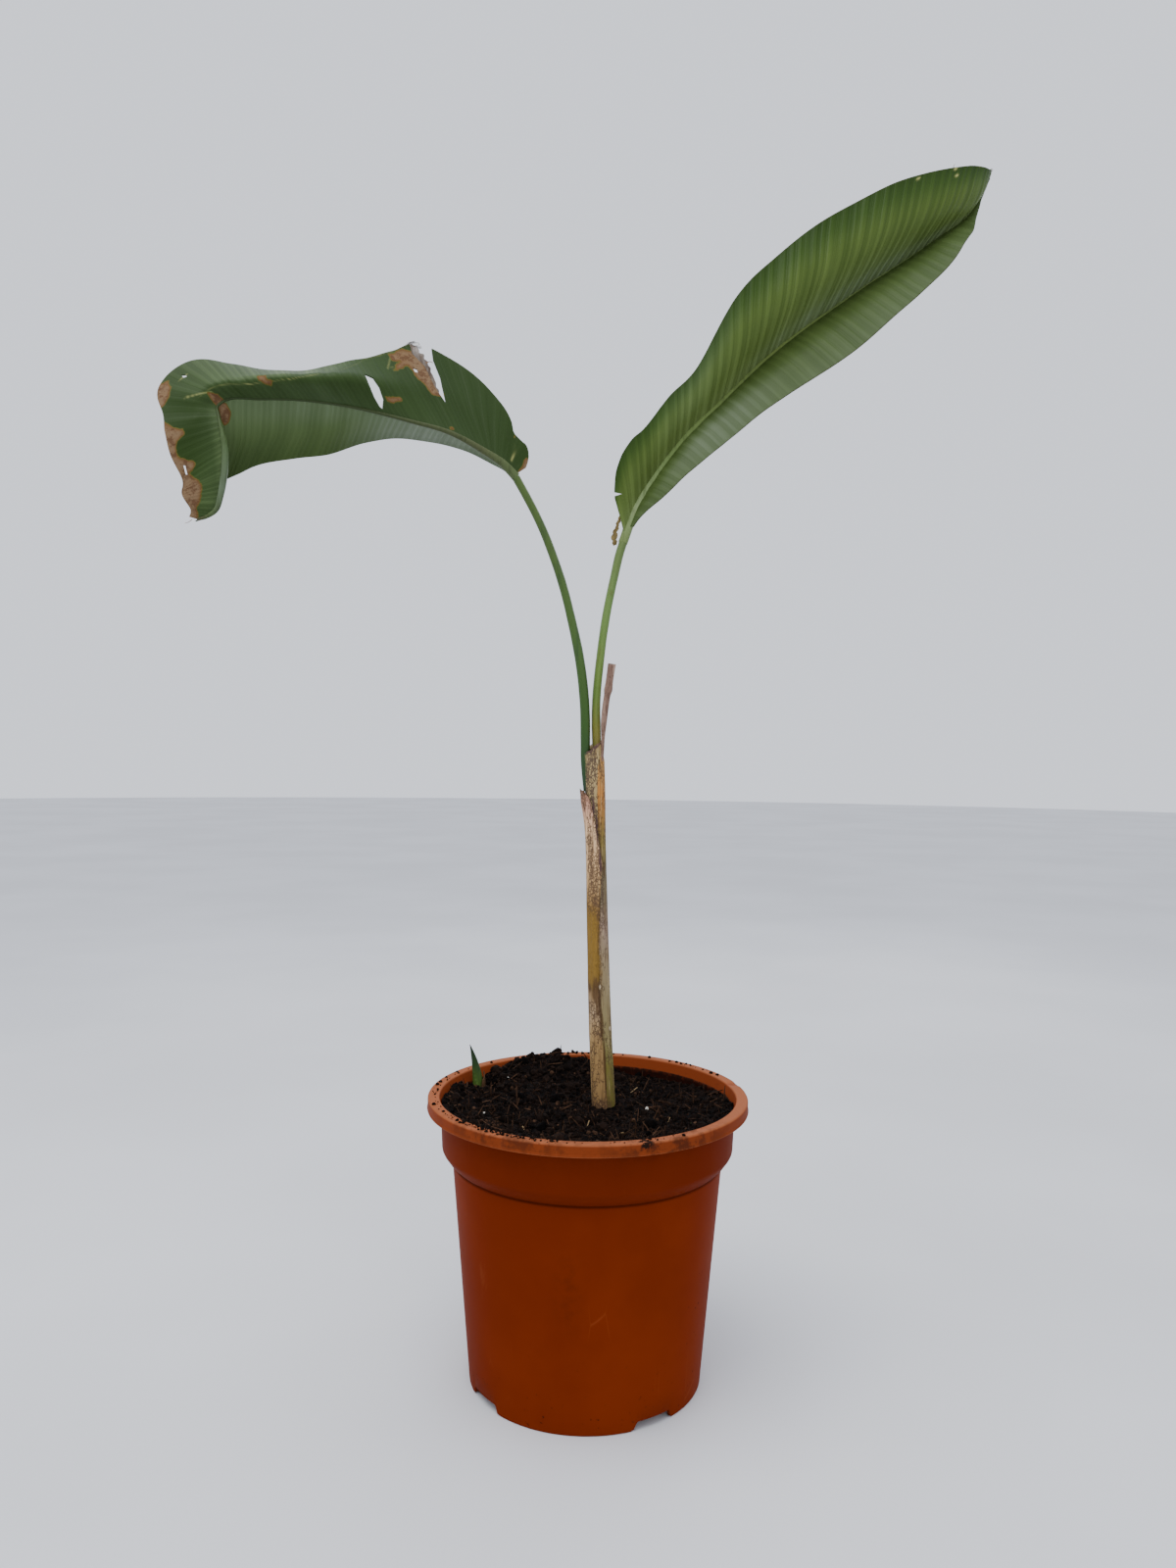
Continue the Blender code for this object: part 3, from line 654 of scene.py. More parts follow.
@dataclass(frozen=True)
class SheathSkin(Finish):
    """Old leaf base round the stem: colours by height, net-like speckles and dark bruises."""

    heights: Stops = ((0, (150, 125, 75)), (1, (190, 150, 125)))
    low: float = 0.172
    high: float = 0.42
    speckle: Colour = (74, 54, 42)
    speckles: float = 0.6
    streak: Colour = (104, 80, 50)

    def paint(self, g: ShaderGraph) -> None:
        """Lengthwise fibres over the colours, then speckles, bruises and bleached spots.

        Args:
            g: the material's graph.
        """
        _, _, height = g.axes()
        sway = g.swing(g.noise(160, 3, 0.6, (1, 1, 0.3)), 0.018)
        level = g.out("ShaderNodeMapRange", {
            "Value": g.plus(height, sway), "From Min": self.low, "From Max": self.high,
        })
        colour = g.ramp(level, self.heights)
        fibre = g.noise(620, 4, 0.65, (1, 1, 0.04))
        colour = g.tint(colour, g.step(fibre, 0.46, 0.64), 0.7, self.streak)
        pale = g.step(g.noise(500, 3, 0.6, (1, 1, 0.06)), 0.58, 0.72)
        colour = g.tint(colour, pale, 0.4, (198, 172, 128))
        net = g.step(g.cells(620, (1, 1, 0.6)), 0.16, 0.05)
        gate = g.plus(g.noise(130, 4, 0.7, (1, 1, 0.5)), g.times(g.attribute("net"), 0.3))
        gate = g.step(gate, 0.48, 0.6)
        flecks = g.step(g.noise(520, 3, 0.6, (1, 1, 0.6)), 0.6, 0.64)
        marks = g.most(g.times(net, gate), g.times(flecks, 0.95))
        dense = g.step(g.noise(700, 3, 0.65, (1, 1, 0.5)), 0.44, 0.56)
        marks = g.most(marks, g.times(dense, g.step(g.attribute("net"), 0.15, 0.7)))
        colour = g.tint(colour, marks, self.speckles, self.speckle)
        ragged = g.swing(g.noise(420, 4, 0.7, (1, 1, 0.4)), 0.7)
        for name, tint in SHEATH_TINTS.items():
            mark = g.step(g.plus(g.attribute(name), ragged), 0.36, 0.66)
            colour = g.tint(colour, mark, 0.8, tint)
        relief = g.plus(fibre, g.times(marks, -0.3))
        g.finish(colour, None, g.relief(relief, 0.8, 0.0009))


@dataclass(frozen=True)
class Papery(Finish):
    """Dry, papery plant tissue in shades of brown."""

    stops: Stops = ((0.2, (74, 50, 34)), (0.5, (122, 90, 62)), (0.8, (160, 128, 94)))
    grain: float = 240.0

    def paint(self, g: ShaderGraph) -> None:
        """Streaks of brown with fine ridges.

        Args:
            g: the material's graph.
        """
        streaks = g.noise(self.grain, 5, 0.7, (1, 1, 0.18))
        colour = g.ramp(streaks, self.stops)
        spots = g.step(g.noise(700, 2), 0.66, 0.72)
        colour = g.tint(colour, spots, 0.5, (48, 30, 22))
        g.finish(colour, None, g.relief(streaks, 0.8, 0.0008))


@dataclass(frozen=True)
class FloorPaint(Finish):
    """The pale floor."""

    tint: Colour = (218, 219, 222)

    def paint(self, g: ShaderGraph) -> None:
        """A faintly clouded pale grey.

        Args:
            g: the material's graph.
        """
        cloud = g.noise(2.2, 3)
        darker = tuple(channel - 8 for channel in self.tint)
        g.finish(g.mix(g.step(cloud, 0.3, 0.7), darker, self.tint))


# Meshes


@dataclass
class Sheet:
    """A grid of points, row by row, with its surface coordinates and painted fields."""

    points: Array
    u: Array
    v: Array
    fields: dict[str, Array] = field(default_factory=dict)

    def across(self) -> Array:
        """The surface's direction at each point."""
        return unit(np.cross(np.gradient(self.points, axis=0), np.gradient(self.points, axis=1)))

    def raised(self, distance: Array | float) -> "Sheet":
        """The same sheet moved along its own direction."""
        shift = self.across() * np.asarray(distance)[..., None]
        return Sheet(self.points + shift, self.u, self.v, self.fields)


def quads(rows: int, columns: int, wrapped: bool = False) -> Array:
    """Faces of a grid.

    Args:
        rows: points one way.
        columns: points the other way.
        wrapped: whether the last column joins the first.

    Returns:
        Four indices for each face.
    """
    r = np.arange(rows - 1)[:, None]
    c = np.arange(columns if wrapped else columns - 1)[None]
    n = (c + 1) % columns
    low, high = r * columns, (r + 1) * columns
    return np.stack([low + c, low + n, high + n, high + c], axis=-1).reshape(-1, 4)


def ring(reach: Array | float, angles: Array, level: Array | float = 0.0) -> Array:
    """Points at this reach from the axis, at these angles round it and at this level."""
    return np.stack(np.broadcast_arrays(reach * np.cos(angles), reach * np.sin(angles), level), axis=-1)


def around(count: int) -> Array:
    """This many angles evenly round a circle."""
    return np.arange(count) * 2 * math.pi / count


def linked(name: str, data: Any) -> Thing:
    """A new object with this data, in the scene.

    Args:
        name: the object's name.
        data: its mesh or curve.

    Returns:
        The object.
    """
    thing = bpy.data.objects.new(name, data)
    bpy.context.scene.collection.objects.link(thing)
    return thing


def make_object(name: str, points: Array, faces: Sequence[Sequence[int]],
                fields: dict[str, Array] | None = None, layout: Array | None = None,
                outwards: bool = True) -> Thing:
    """A mesh object at the origin.

    Args:
        name: the piece's name.
        points: its points in metres.
        faces: indices of each face.
        fields: painted values for each point, by name.
        layout: surface coordinates of each point.
        outwards: whether the faces are turned outwards.

    Returns:
        The linked object.
    """
    mesh = bpy.data.meshes.new(name)
    mesh.from_pydata(points.reshape(-1, 3).tolist(), [], [list(map(int, face)) for face in faces])
    for key, values in (fields or {}).items():
        painted = mesh.attributes.new(key, "FLOAT", "POINT")
        painted.data.foreach_set("value", np.ascontiguousarray(values, np.float32).ravel())
    if layout is not None:
        corners = np.empty(len(mesh.loops), np.int32)
        mesh.loops.foreach_get("vertex_index", corners)
        flat = np.ascontiguousarray(layout.reshape(-1, 2)[corners], np.float32)
        mesh.uv_layers.new(name="UVMap").data.foreach_set("uv", flat.ravel())
    if outwards:
        shape = bmesh.new()
        shape.from_mesh(mesh)
        bmesh.ops.recalc_face_normals(shape, faces=shape.faces)
        shape.to_mesh(mesh)
        shape.free()
    return linked(name, mesh)


def soften(thing: Thing, degrees: float = 40.0) -> None:
    """Smooth shading, with edges sharper than this kept."""
    thing.data.shade_smooth()
    thing.data.set_sharp_from_angle(angle=math.radians(degrees))


def sheet_object(name: str, sheet: Sheet) -> Thing:
    """The open sheet as an object.

    Args:
        name: the object's name.
        sheet: points and fields.

    Returns:
        The object.
    """
    rows, columns, _ = sheet.points.shape
    layout = np.stack([sheet.u, sheet.v], axis=-1)
    return make_object(name, sheet.points, quads(rows, columns), sheet.fields, layout, outwards=False)


def shell_object(name: str, outer: Sheet, inner: Sheet) -> Thing:
    """A closed wall between two sheets of the same size.

    Args:
        name: the object's name.
        outer: the outer sheet.
        inner: the inner sheet.

    Returns:
        The closed object.
    """
    rows, columns, _ = outer.points.shape
    points = np.concatenate([outer.points.reshape(-1, 3), inner.points.reshape(-1, 3)])
    shift = rows * columns
    front = quads(rows, columns)
    rim = list(range(columns)) + [r * columns + columns - 1 for r in range(1, rows)]
    rim += [(rows - 1) * columns + c for c in range(columns - 2, -1, -1)]
    rim += [r * columns for r in range(rows - 2, 0, -1)]
    edge = [(a, shift + a, shift + b, b) for a, b in zip(rim, rim[1:] + rim[:1])]
    faces = [*front.tolist(), *(front[:, ::-1] + shift).tolist(), *edge]
    fields = {key: np.concatenate([values.ravel(), inner.fields[key].ravel()])
              for key, values in outer.fields.items()}
    flat = [np.stack([side.u, side.v], axis=-1).reshape(-1, 2) for side in (outer, inner)]
    return make_object(name, points, faces, fields, np.concatenate(flat))


def tube_object(name: str, rings: Array, fields: dict[str, Array] | None = None) -> Thing:
    """A closed tube through rings of points, with a middle point on each end.

    Args:
        name: the piece's name.
        rings: points as (ring, place round it, 3).
        fields: painted values as (ring, place round it).

    Returns:
        The linked object.
    """
    rows, columns, _ = rings.shape
    points = np.concatenate([rings.reshape(-1, 3), rings[:1].mean(axis=1), rings[-1:].mean(axis=1)])
    low, high, last = rows * columns, rows * columns + 1, (rows - 1) * columns
    faces = quads(rows, columns, wrapped=True).tolist()
    faces += [(low, (k + 1) % columns, k) for k in range(columns)]
    faces += [(high, last + k, last + (k + 1) % columns) for k in range(columns)]
    painted = {
        key: np.concatenate([values.ravel(), [values[0].mean(), values[-1].mean()]])
        for key, values in (fields or {}).items()
    }
    return make_object(name, points, faces, painted)


def apply_modifiers(thing: Thing) -> Thing:
    """Turns the evaluated result into the object's plain mesh and removes the modifiers.

    Args:
        thing: the object with its modifiers.

    Returns:
        The same object.
    """
    bpy.context.view_layer.update()
    graph = bpy.context.evaluated_depsgraph_get()
    mesh = bpy.data.meshes.new_from_object(thing.evaluated_get(graph))
    old = thing.data
    thing.modifiers.clear()
    thing.data = mesh
    mesh.name = thing.name
    bpy.data.meshes.remove(old)
    return thing


def place(thing: Thing, slot: Slot, *nodes: str) -> Thing:
    """Hands a finished piece to the frame.

    Args:
        thing: the piece, at the origin.
        slot: the record's material slot that it stands for, named in the log.
        *nodes: the CAD nodes that it stands for.

    Returns:
        The piece.
    """
    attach(thing, "root")
    if nodes:
        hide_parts(*nodes)
    LOG.info("%s: %d faces, slot %s", thing.name, len(thing.data.polygons), slot.value)
    return thing


def dress(thing: Thing, *finishes: Finish) -> None:
    """Gives the object these finishes as its material slots.

    Args:
        thing: the object.
        finishes: finishes in the order of the faces' slots.
    """
    thing.data.materials.clear()
    for finish in finishes:
        thing.data.materials.append(finish.material())


def hand_in(thing: Thing, degrees: float, finish: Finish, slot: Slot, *nodes: str) -> Thing:
    """Softens, dresses and places a piece.

    Args:
        thing: the object.
        degrees: angle under which edges are smooth.
        finish: its finish.
        slot: its slot in the record.
        nodes: the CAD nodes it replaces.

    Returns:
        The same object.
    """
    soften(thing, degrees)
    dress(thing, finish)
    return place(thing, slot, *nodes)


def thicken(thing: Thing, thickness: float, back: int, *finishes: Finish) -> None:
    """Gives a sheet a wall and these finishes.

    Args:
        thing: the open sheet.
        thickness: of the wall, in metres.
        back: slots from the front's finish to the back's.
        finishes: the finishes, front first.
    """
    wall = thing.modifiers.new("wall", "SOLIDIFY")
    wall.thickness, wall.offset, wall.material_offset = thickness, 0.0, back
    dress(thing, *finishes)
    apply_modifiers(thing)


# Geometry Nodes


class NodeTool(Graph):
    """A Geometry Nodes tree with named inputs, run on an object and then turned into its mesh."""

    title = "tool"
    sizes: tuple[tuple[str, str, float | int], ...] = ()

    def __init__(self) -> None:
        tree = bpy.data.node_groups.new(self.title, "GeometryNodeTree")
        super().__init__(tree)
        tree.interface.new_socket("Geometry", in_out="INPUT", socket_type="NodeSocketGeometry")
        for name, kind, default in self.sizes:
            made = tree.interface.new_socket(name, in_out="INPUT", socket_type="NodeSocket" + kind)
            made.default_value = default
        tree.interface.new_socket("Material", in_out="INPUT", socket_type="NodeSocketMaterial")
        tree.interface.new_socket("Geometry", in_out="OUTPUT", socket_type="NodeSocketGeometry")
        self.given = self.add("NodeGroupInput").outputs
        shape = self.write(self.given["Geometry"])
        shape = self.out("GeometryNodeRealizeInstances", {"Geometry": shape})
        shape = self.shape_after(shape)
        shape = self.out("GeometryNodeSetMaterial", {"Geometry": shape, "Material": self.given["Material"]})
        self.add("NodeGroupOutput", {0: shape})

    def write(self, shape: Socket) -> Socket:
        """Writes the tree's own nodes."""
        raise NotImplementedError

    def shape_after(self, shape: Socket) -> Socket:
        """Changes the realised shape."""
        return shape

    def vector(self, operation: str, values: dict[Any, Any]) -> Socket:
        """A Vector Math node."""
        return self.out("ShaderNodeVectorMath", values, operation=operation)

    def named(self, name: str, kind: str = "FLOAT") -> Socket:
        """A painted field of the input."""
        return self.out("GeometryNodeInputNamedAttribute", {"Name": name}, data_type=kind)

    def store(self, shape: Any, name: str, value: Any) -> Socket:
        """Keeps a value on the geometry under a name."""
        return self.out("GeometryNodeStoreNamedAttribute", {"Geometry": shape, "Name": name, "Value": value},
                        data_type="FLOAT", domain="POINT")

    def run(self, thing: Thing, material: bpy.types.Material, **sizes: float | int) -> Thing:
        """Runs the tree on an object.

        Args:
            thing: the object whose mesh is the input.
            material: what the result is made of.
            **sizes: values of the named inputs, with _ for a space.

        Returns:
            The object, with the result as its plain mesh.
        """
        modifier = thing.modifiers.new(self.title, "NODES")
        modifier.node_group = self.tree
        wanted = {name.replace("_", " "): value for name, value in sizes.items()} | {"Material": material}
        for item in self.tree.interface.items_tree:
            if item.in_out == "INPUT" and item.name in wanted:
                modifier[item.identifier] = wanted[item.name]
        return apply_modifiers(thing)


class StalkSweep(NodeTool):
    """Sweeps a grooved and ridged round section along a rail whose points hold a girth and a facing."""

    title = "stalk_sweep"
    sizes = (
        ("Section Sides", "Int", 28), ("Groove Depth", "Float", 0.0), ("Groove Start", "Float", 0.45),
        ("Flatten", "Float", 1.0), ("Ridges", "Float", 9.0), ("Ridge Height", "Float", 0.015),
        ("Wobble", "Float", 0.0),
    )

    def write(self, shape: Socket) -> Socket:
        """The rail as a curve, the section as a changed circle, and the sweep.

        Args:
            shape: the incoming geometry.

        Returns:
            The made geometry.
        """
        given = self.given
        rail = self.out("GeometryNodeMeshToCurve", {"Mesh": shape})
        rail = self.out("GeometryNodeSetCurveNormal", {
            "Curve": rail, "Normal": self.named("facing", "FLOAT_VECTOR"),
        }, mode="FREE")
        rail = self.store(rail, "along", self.out("GeometryNodeSplineParameter"))
        ring = self.out("GeometryNodeCurvePrimitiveCircle", {
            "Resolution": given["Section Sides"], "Radius": 1.0,
        }, mode="RADIUS")
        spot = self.out("GeometryNodeInputPosition")
        side = self.add("ShaderNodeSeparateXYZ", {"Vector": spot}).outputs
        bearing = self.math("ARCTAN2", side["Y"], side["X"])
        ridge = self.times(self.math("COSINE", self.times(bearing, given["Ridges"])),
                          given["Ridge Height"])
        dip = self.out("ShaderNodeMapRange", {
            "Value": side["X"], "From Min": given["Groove Start"], "From Max": 1.0,
            "To Max": given["Groove Depth"],
        }, interpolation_type="SMOOTHSTEP")
        scale = self.math("SUBTRACT", self.plus(1.0, ridge), dip)
        spot = self.vector("SCALE", {"Vector": spot, "Scale": scale})
        side = self.add("ShaderNodeSeparateXYZ", {"Vector": spot}).outputs
        spot = self.out("ShaderNodeCombineXYZ", {
            "X": self.times(side["X"], given["Flatten"]), "Y": side["Y"],
        })
        ring = self.out("GeometryNodeSetPosition", {"Geometry": ring, "Position": spot})
        return self.out("GeometryNodeCurveToMesh", {
            "Curve": rail, "Profile Curve": ring, "Scale": self.named("girth"), "Fill Caps": True,
        })

    def shape_after(self, shape: Socket) -> Socket:
        """Uneven growth along the stalk.

        Args:
            shape: the made geometry.

        Returns:
            The changed geometry.
        """
        noise = self.add("ShaderNodeTexNoise", {"Scale": 60.0, "Detail": 3.0}).outputs["Fac"]
        lift = self.times(self.math("SUBTRACT", noise, 0.5), self.given["Wobble"])
        push = self.vector("SCALE", {"Vector": self.out("GeometryNodeInputNormal"), "Scale": lift})
        return self.out("GeometryNodeSetPosition", {"Geometry": shape, "Offset": push})


class GrainScatter(NodeTool):
    """Scatters crumbs over a host mesh where its "loose" field allows."""

    title = "grain_scatter"
    sizes = (
        ("Density", "Float", 1000.0), ("Smallest", "Float", 0.001), ("Largest", "Float", 0.003),
        ("Detail", "Int", 1), ("Slimness", "Float", 1.0), ("Sink", "Float", 0.0), ("Lumpiness", "Float", 0.5),
        ("Seed", "Int", 1),
    )

    def write(self, shape: Socket) -> Socket:
        """Points on the host, each with a turned and stretched crumb of its own tone.

        Args:
            shape: the incoming geometry.

        Returns:
            The made geometry.
        """
        given = self.given
        seed = given["Seed"]
        density = self.times(given["Density"], self.named("loose"))
        points = self.out("GeometryNodeDistributePointsOnFaces", {
            "Mesh": shape, "Density": density, "Seed": seed,
        }, distribute_method="RANDOM")
        points = self.store(points, "tone", self.chance(0.0, 1.0, seed, 3))
        crumb = self.out("GeometryNodeMeshIcoSphere", {"Radius": 1.0, "Subdivisions": given["Detail"]})
        turn = self.out("FunctionNodeRandomValue", {
            "Min": (0.0, 0.0, 0.0), "Max": (6.283, 6.283, 6.283), "Seed": self.plus(seed, 5),
        }, data_type="FLOAT_VECTOR")
        size = self.chance(0.0, 1.0, seed, 7)
        size = self.times(size, self.times(size, size))
        size = self.out("ShaderNodeMapRange", {
            "Value": size, "To Min": given["Smallest"], "To Max": given["Largest"],
        })
        slim = self.times(size, given["Slimness"])
        scale = self.out("ShaderNodeCombineXYZ", {
            "X": self.times(size, self.chance(0.7, 1.3, seed, 9)), "Y": slim,
            "Z": self.times(slim, self.chance(0.6, 1.0, seed, 11)),
        })
        drop = self.out("ShaderNodeCombineXYZ", {"Z": self.times(size, given["Sink"])})
        points = self.out("GeometryNodeSetPosition", {"Geometry": points, "Offset": drop})
        return self.out("GeometryNodeInstanceOnPoints", {
            "Points": points, "Instance": crumb, "Rotation": turn, "Scale": scale,
        })

    def chance(self, low: float, high: float, seed: Any, shift: int) -> Socket:
        """A random number between low and high for each point.

        Args:
            low: least value.
            high: greatest value.
            seed: seed socket or number.
            shift: added to the seed.

        Returns:
            The random value.
        """
        return self.out("FunctionNodeRandomValue", {
            "Min": low, "Max": high, "Seed": self.plus(seed, shift),
        }, data_type="FLOAT")

    def shape_after(self, shape: Socket) -> Socket:
        """Makes each crumb lumpy in its own way.

        Args:
            shape: the made geometry.

        Returns:
            The changed geometry.
        """
        noise = self.add("ShaderNodeTexNoise", {"Scale": 420.0, "Detail": 2.0}).outputs["Color"]
        push = self.vector("SUBTRACT", {0: noise, 1: (0.5, 0.5, 0.5)})
        amount = self.times(self.given["Lumpiness"], self.given["Largest"])
        return self.out("GeometryNodeSetPosition", {
            "Geometry": shape, "Offset": self.vector("SCALE", {"Vector": push, "Scale": amount}),
        })


def rail_object(name: str, path: Array, girth: Array, facing: Array) -> Thing:
    """A line of points for StalkSweep.

    Args:
        name: the piece's name.
        path: its points in metres.
        girth: the radius at each point.
        facing: the direction that the groove faces at each point.

    Returns:
        The linked object.
    """
    mesh = bpy.data.meshes.new(name)
    mesh.from_pydata(path.tolist(), [(i, i + 1) for i in range(len(path) - 1)], [])
    mesh.attributes.new("girth", "FLOAT", "POINT").data.foreach_set("value", np.asarray(girth, np.float32))
    turned = mesh.attributes.new("facing", "FLOAT_VECTOR", "POINT")
    turned.data.foreach_set("vector", np.ascontiguousarray(facing, np.float32).ravel())
    return linked(name, mesh)


# Pot and compost

DARK_GRIT = Grit("crumb_dark", 0.95, 0.04)
BROWN_GRIT = Grit("crumb_brown", 0.95, 0.04, (18, 11, 8), (76, 54, 40))

@dataclass
class Pot:
    """Thin moulded nursery pot with a rolled rim, a wide collar and a ring foot with four notches."""

    height: float = 0.1859
    rim_radius: float = 0.105
    rim_depth: float = 0.0077
    collar_radius: float = 0.096
    collar_foot: float = 0.1522
    step_foot: float = 0.1444
    step_radius: float = 0.0882
    base_radius: float = 0.076
    wall: float = 0.0018
    foot_height: float = 0.006
    floor: float = 0.002
    notches: int = 4
    notch_first: float = -56.0
    notch_width: float = 0.03
    drain_radius: float = 0.005
    drain_reach: float = 0.056
    segments: int = 216
    lip_curl: float = 0.0013
    wall_steps: tuple[float, ...] = (0.004, 0.012, 0.04, 0.12, 0.25, 0.4, 0.55, 0.7, 0.85, 0.96)
    long_run: float = 0.0022
    crisp_above: float = 0.13
    hold: float = 0.0003
    label_at: float = 14.0
    label_depth: float = 0.0007
    smudges: Rows = (
        (-62, 24, 0.18, 0.19, 0.8), (-118, 30, 0.182, 0.19, 0.7), (-97, 6, 0.07, 0.104, 0.25),
        (-71.4, 1.6, 0.1845, 0.185, 4),
    )

    @staticmethod
    def near(radius: float, height: float, *offsets: tuple[float, float]) -> list[tuple[float, float]]:
        """Points at these (out, up) offsets in millimetres from a corner of the section."""
        return [(radius + out * MM, height + up * MM) for out, up in offsets]

    def profile(self) -> list[tuple[float, float]]:
        """The section as (radius, height), from under the floor out, over the rim and in to the floor.

        Returns:
            The section's points.
        """
        top, rim, rim_foot = self.height, self.rim_radius, self.height - self.rim_depth
        collar, collar_foot, wall = self.collar_radius, self.collar_foot, self.wall
        step, step_foot, base = self.step_radius, self.step_foot, self.base_radius
        under, floor, near, curl = self.foot_height, self.foot_height + self.floor, self.near, self.lip_curl
        rows = [(0.0, under), (0.5 * base, under), (base - 1.4 * wall, under), (base - 1.4 * wall, 0.0003)]
        rows += [(base - 1.2 * wall, 0.0), (base - 0.0004, 0.0), (base, 0.0004)]
        rows += [(base + (step - base) * t, step_foot * t) for t in self.wall_steps]
        rows += near(step, step_foot, (-0.3, -2.0), (-0.7, -1.2), (-0.9, -0.5))
        rows += near(step, step_foot, (0.2, 0.1), (0.8, 0.7), (3.0, 2.6))
        rows += near(collar, collar_foot, (-2.6, -2.1), (-1.8, -1.0), (-1.1, 0.4), (-0.9, 1.4), (-0.4, 12.0))
        rows += near(collar, rim_foot, (-0.1, -2.0), (0.2, -0.7), (0.9, 0.0))
        rows += near(rim, rim_foot, (-1.0, 0.0), (-0.2, 0.3), (0.0, 0.9), (-0.1, 1.4), (-0.4, 1.9))
        rows += [(rim - 0.0016 + curl * math.cos(a), top - curl + curl * math.sin(a))
                 for a in np.radians((0, 18, 36, 54, 72, 90))]
        rows += near(rim, top, (-4.5, -0.1), (-7.2, 0.0), (-7.7, -0.2), (-8.0, -1.0))
        rows += near(collar - wall, rim_foot, (0.6, 0.6), (0.0, -1.0))
        rows += [(collar - 0.0009 - wall, collar_foot), (step - wall, step_foot)]
        rows += [(base + 0.0007 - wall, floor), (0.5 * base, floor), (0.0, floor)]
        return self.held(rows)

    def held(self, rows: list[tuple[float, float]]) -> list[tuple[float, float]]:
        """The section with a point near each end of its long upper runs, which keeps their edges crisp.

        Args:
            rows: the section's corners.

        Returns:
            The corners and the added points.
        """
        found = rows[:1]
        for start, end in zip(rows[:-1], rows[1:]):
            a, b = np.array(start), np.array(end)
            length = float(np.hypot(*(b - a)))
            if length > self.long_run and min(start[1], end[1]) > self.crisp_above:
                short = (b - a) * self.hold / length
                found += [tuple(a + short), tuple(b - short)]
            found.append(end)
        return found

    def notch_lift(self, angle: float) -> float:
        """How far the foot is cut away at this angle.

        Args:
            angle: round the pot, in radians.

        Returns:
            Metres cut away.
        """
        nearest = min(
            abs((math.degrees(angle) - self.notch_first - 360 * i / self.notches + 180) % 360 - 180)
            for i in range(self.notches)
        )
        across = math.radians(nearest) * self.base_radius
        half = self.notch_width / 2
        return (self.foot_height - 0.0005) * float(1 - eased(half - 0.0028, half, across))

    def build(self) -> Thing:
        """The turned pot with its notches, drain holes and label nick, placed and dressed.

        Returns:
            The pot.
        """
        angles = around(self.segments)
        points, rings = [], []
        for radius, height in self.profile():
            if radius == 0.0:
                rings.append([len(points)] * self.segments)
                points.append((0.0, 0.0, height))
                continue
            rings.append(list(range(len(points), len(points) + self.segments)))
            for angle in angles:
                low = self.notch_lift(angle) if height < self.foot_height - 0.0001 else 0.0
                nick = self.label_nick(angle) if height > self.height - 0.004 else 0.0
                points.append((radius * math.cos(angle), radius * math.sin(angle), max(height, low) - nick))
        faces = []
        for low_ring, high_ring in zip(rings[:-1], rings[1:]):
            for k in range(self.segments):
                n = (k + 1) % self.segments
                faces.append(tuple(dict.fromkeys((low_ring[k], low_ring[n], high_ring[n], high_ring[k]))))
        grid = np.array(points)
        thing = make_object("pot", grid, faces, self.painted(grid))
        for cutter in self.drains():
            tool = thing.modifiers.new("drain", "BOOLEAN")
            tool.operation, tool.solver, tool.object = "DIFFERENCE", "EXACT", cutter
        apply_modifiers(thing)
        for helper in [found for found in bpy.data.objects if found.name.startswith("drain_")]:
            bpy.data.objects.remove(helper, do_unlink=True)
        return hand_in(thing, 50, PotPlastic("pot_plastic", 0.55, 0.02), Slot.POT, "pot")

    def painted(self, grid: Array) -> dict[str, Array]:
        """The fields of smudges, dirt and the inner wall at these points.

        Args:
            grid: the pot's points.

        Returns:
            One array for each field.
        """
        x, y, z = grid.T
        bearing = np.degrees(np.arctan2(y, x))
        smudge = np.zeros(len(grid))
        for centre, half, low, high, amount in self.smudges:
            level = eased(low - 0.006, low, z) * (1 - eased(high, high + 0.006, z))
            smudge = np.maximum(smudge, amount * level * np.clip(1.3 - np.abs(bearing - centre) / half, 0, 1))
        dirt = np.maximum(0.25 * eased(0.165, 0.185, z), 0.9 * (1 - eased(0.0, 0.05, z)))
        dirt = np.maximum(dirt, 1.6 * np.clip(1 - np.hypot((bearing + 30) / 16, (z - 0.07) / 0.03), 0, 0.6))
        within = (np.hypot(x, y) < self.collar_radius - 0.0011) & (z > self.collar_foot + 0.0038)
        return {"smudge": smudge, "dirt": dirt, "inside": within.astype(float)}

    def label_nick(self, angle: float) -> float:
        """The shallow slot for a label in the rim's top, at the right of the back."""
        away = abs((math.degrees(angle) - self.label_at + 180) % 360 - 180) * self.rim_radius * math.pi / 180
        return self.label_depth * float(1 - eased(0.0035, 0.0055, away))

    def drains(self) -> list[Thing]:
        """Cutters for the drain holes.

        Returns:
            The cutters.
        """
        cutters = []
        for i in range(self.notches):
            angle = math.radians(self.notch_first + 360 * i / self.notches)
            middle = ring(self.drain_reach, np.array(angle))
            levels = np.array([self.foot_height - 0.002, self.foot_height + self.floor + 0.002])[:, None]
            cutter = tube_object(f"drain_{i}", middle + ring(self.drain_radius, around(24)[None], levels))
            cutter.hide_render = True
            cutters.append(cutter)
        return cutters


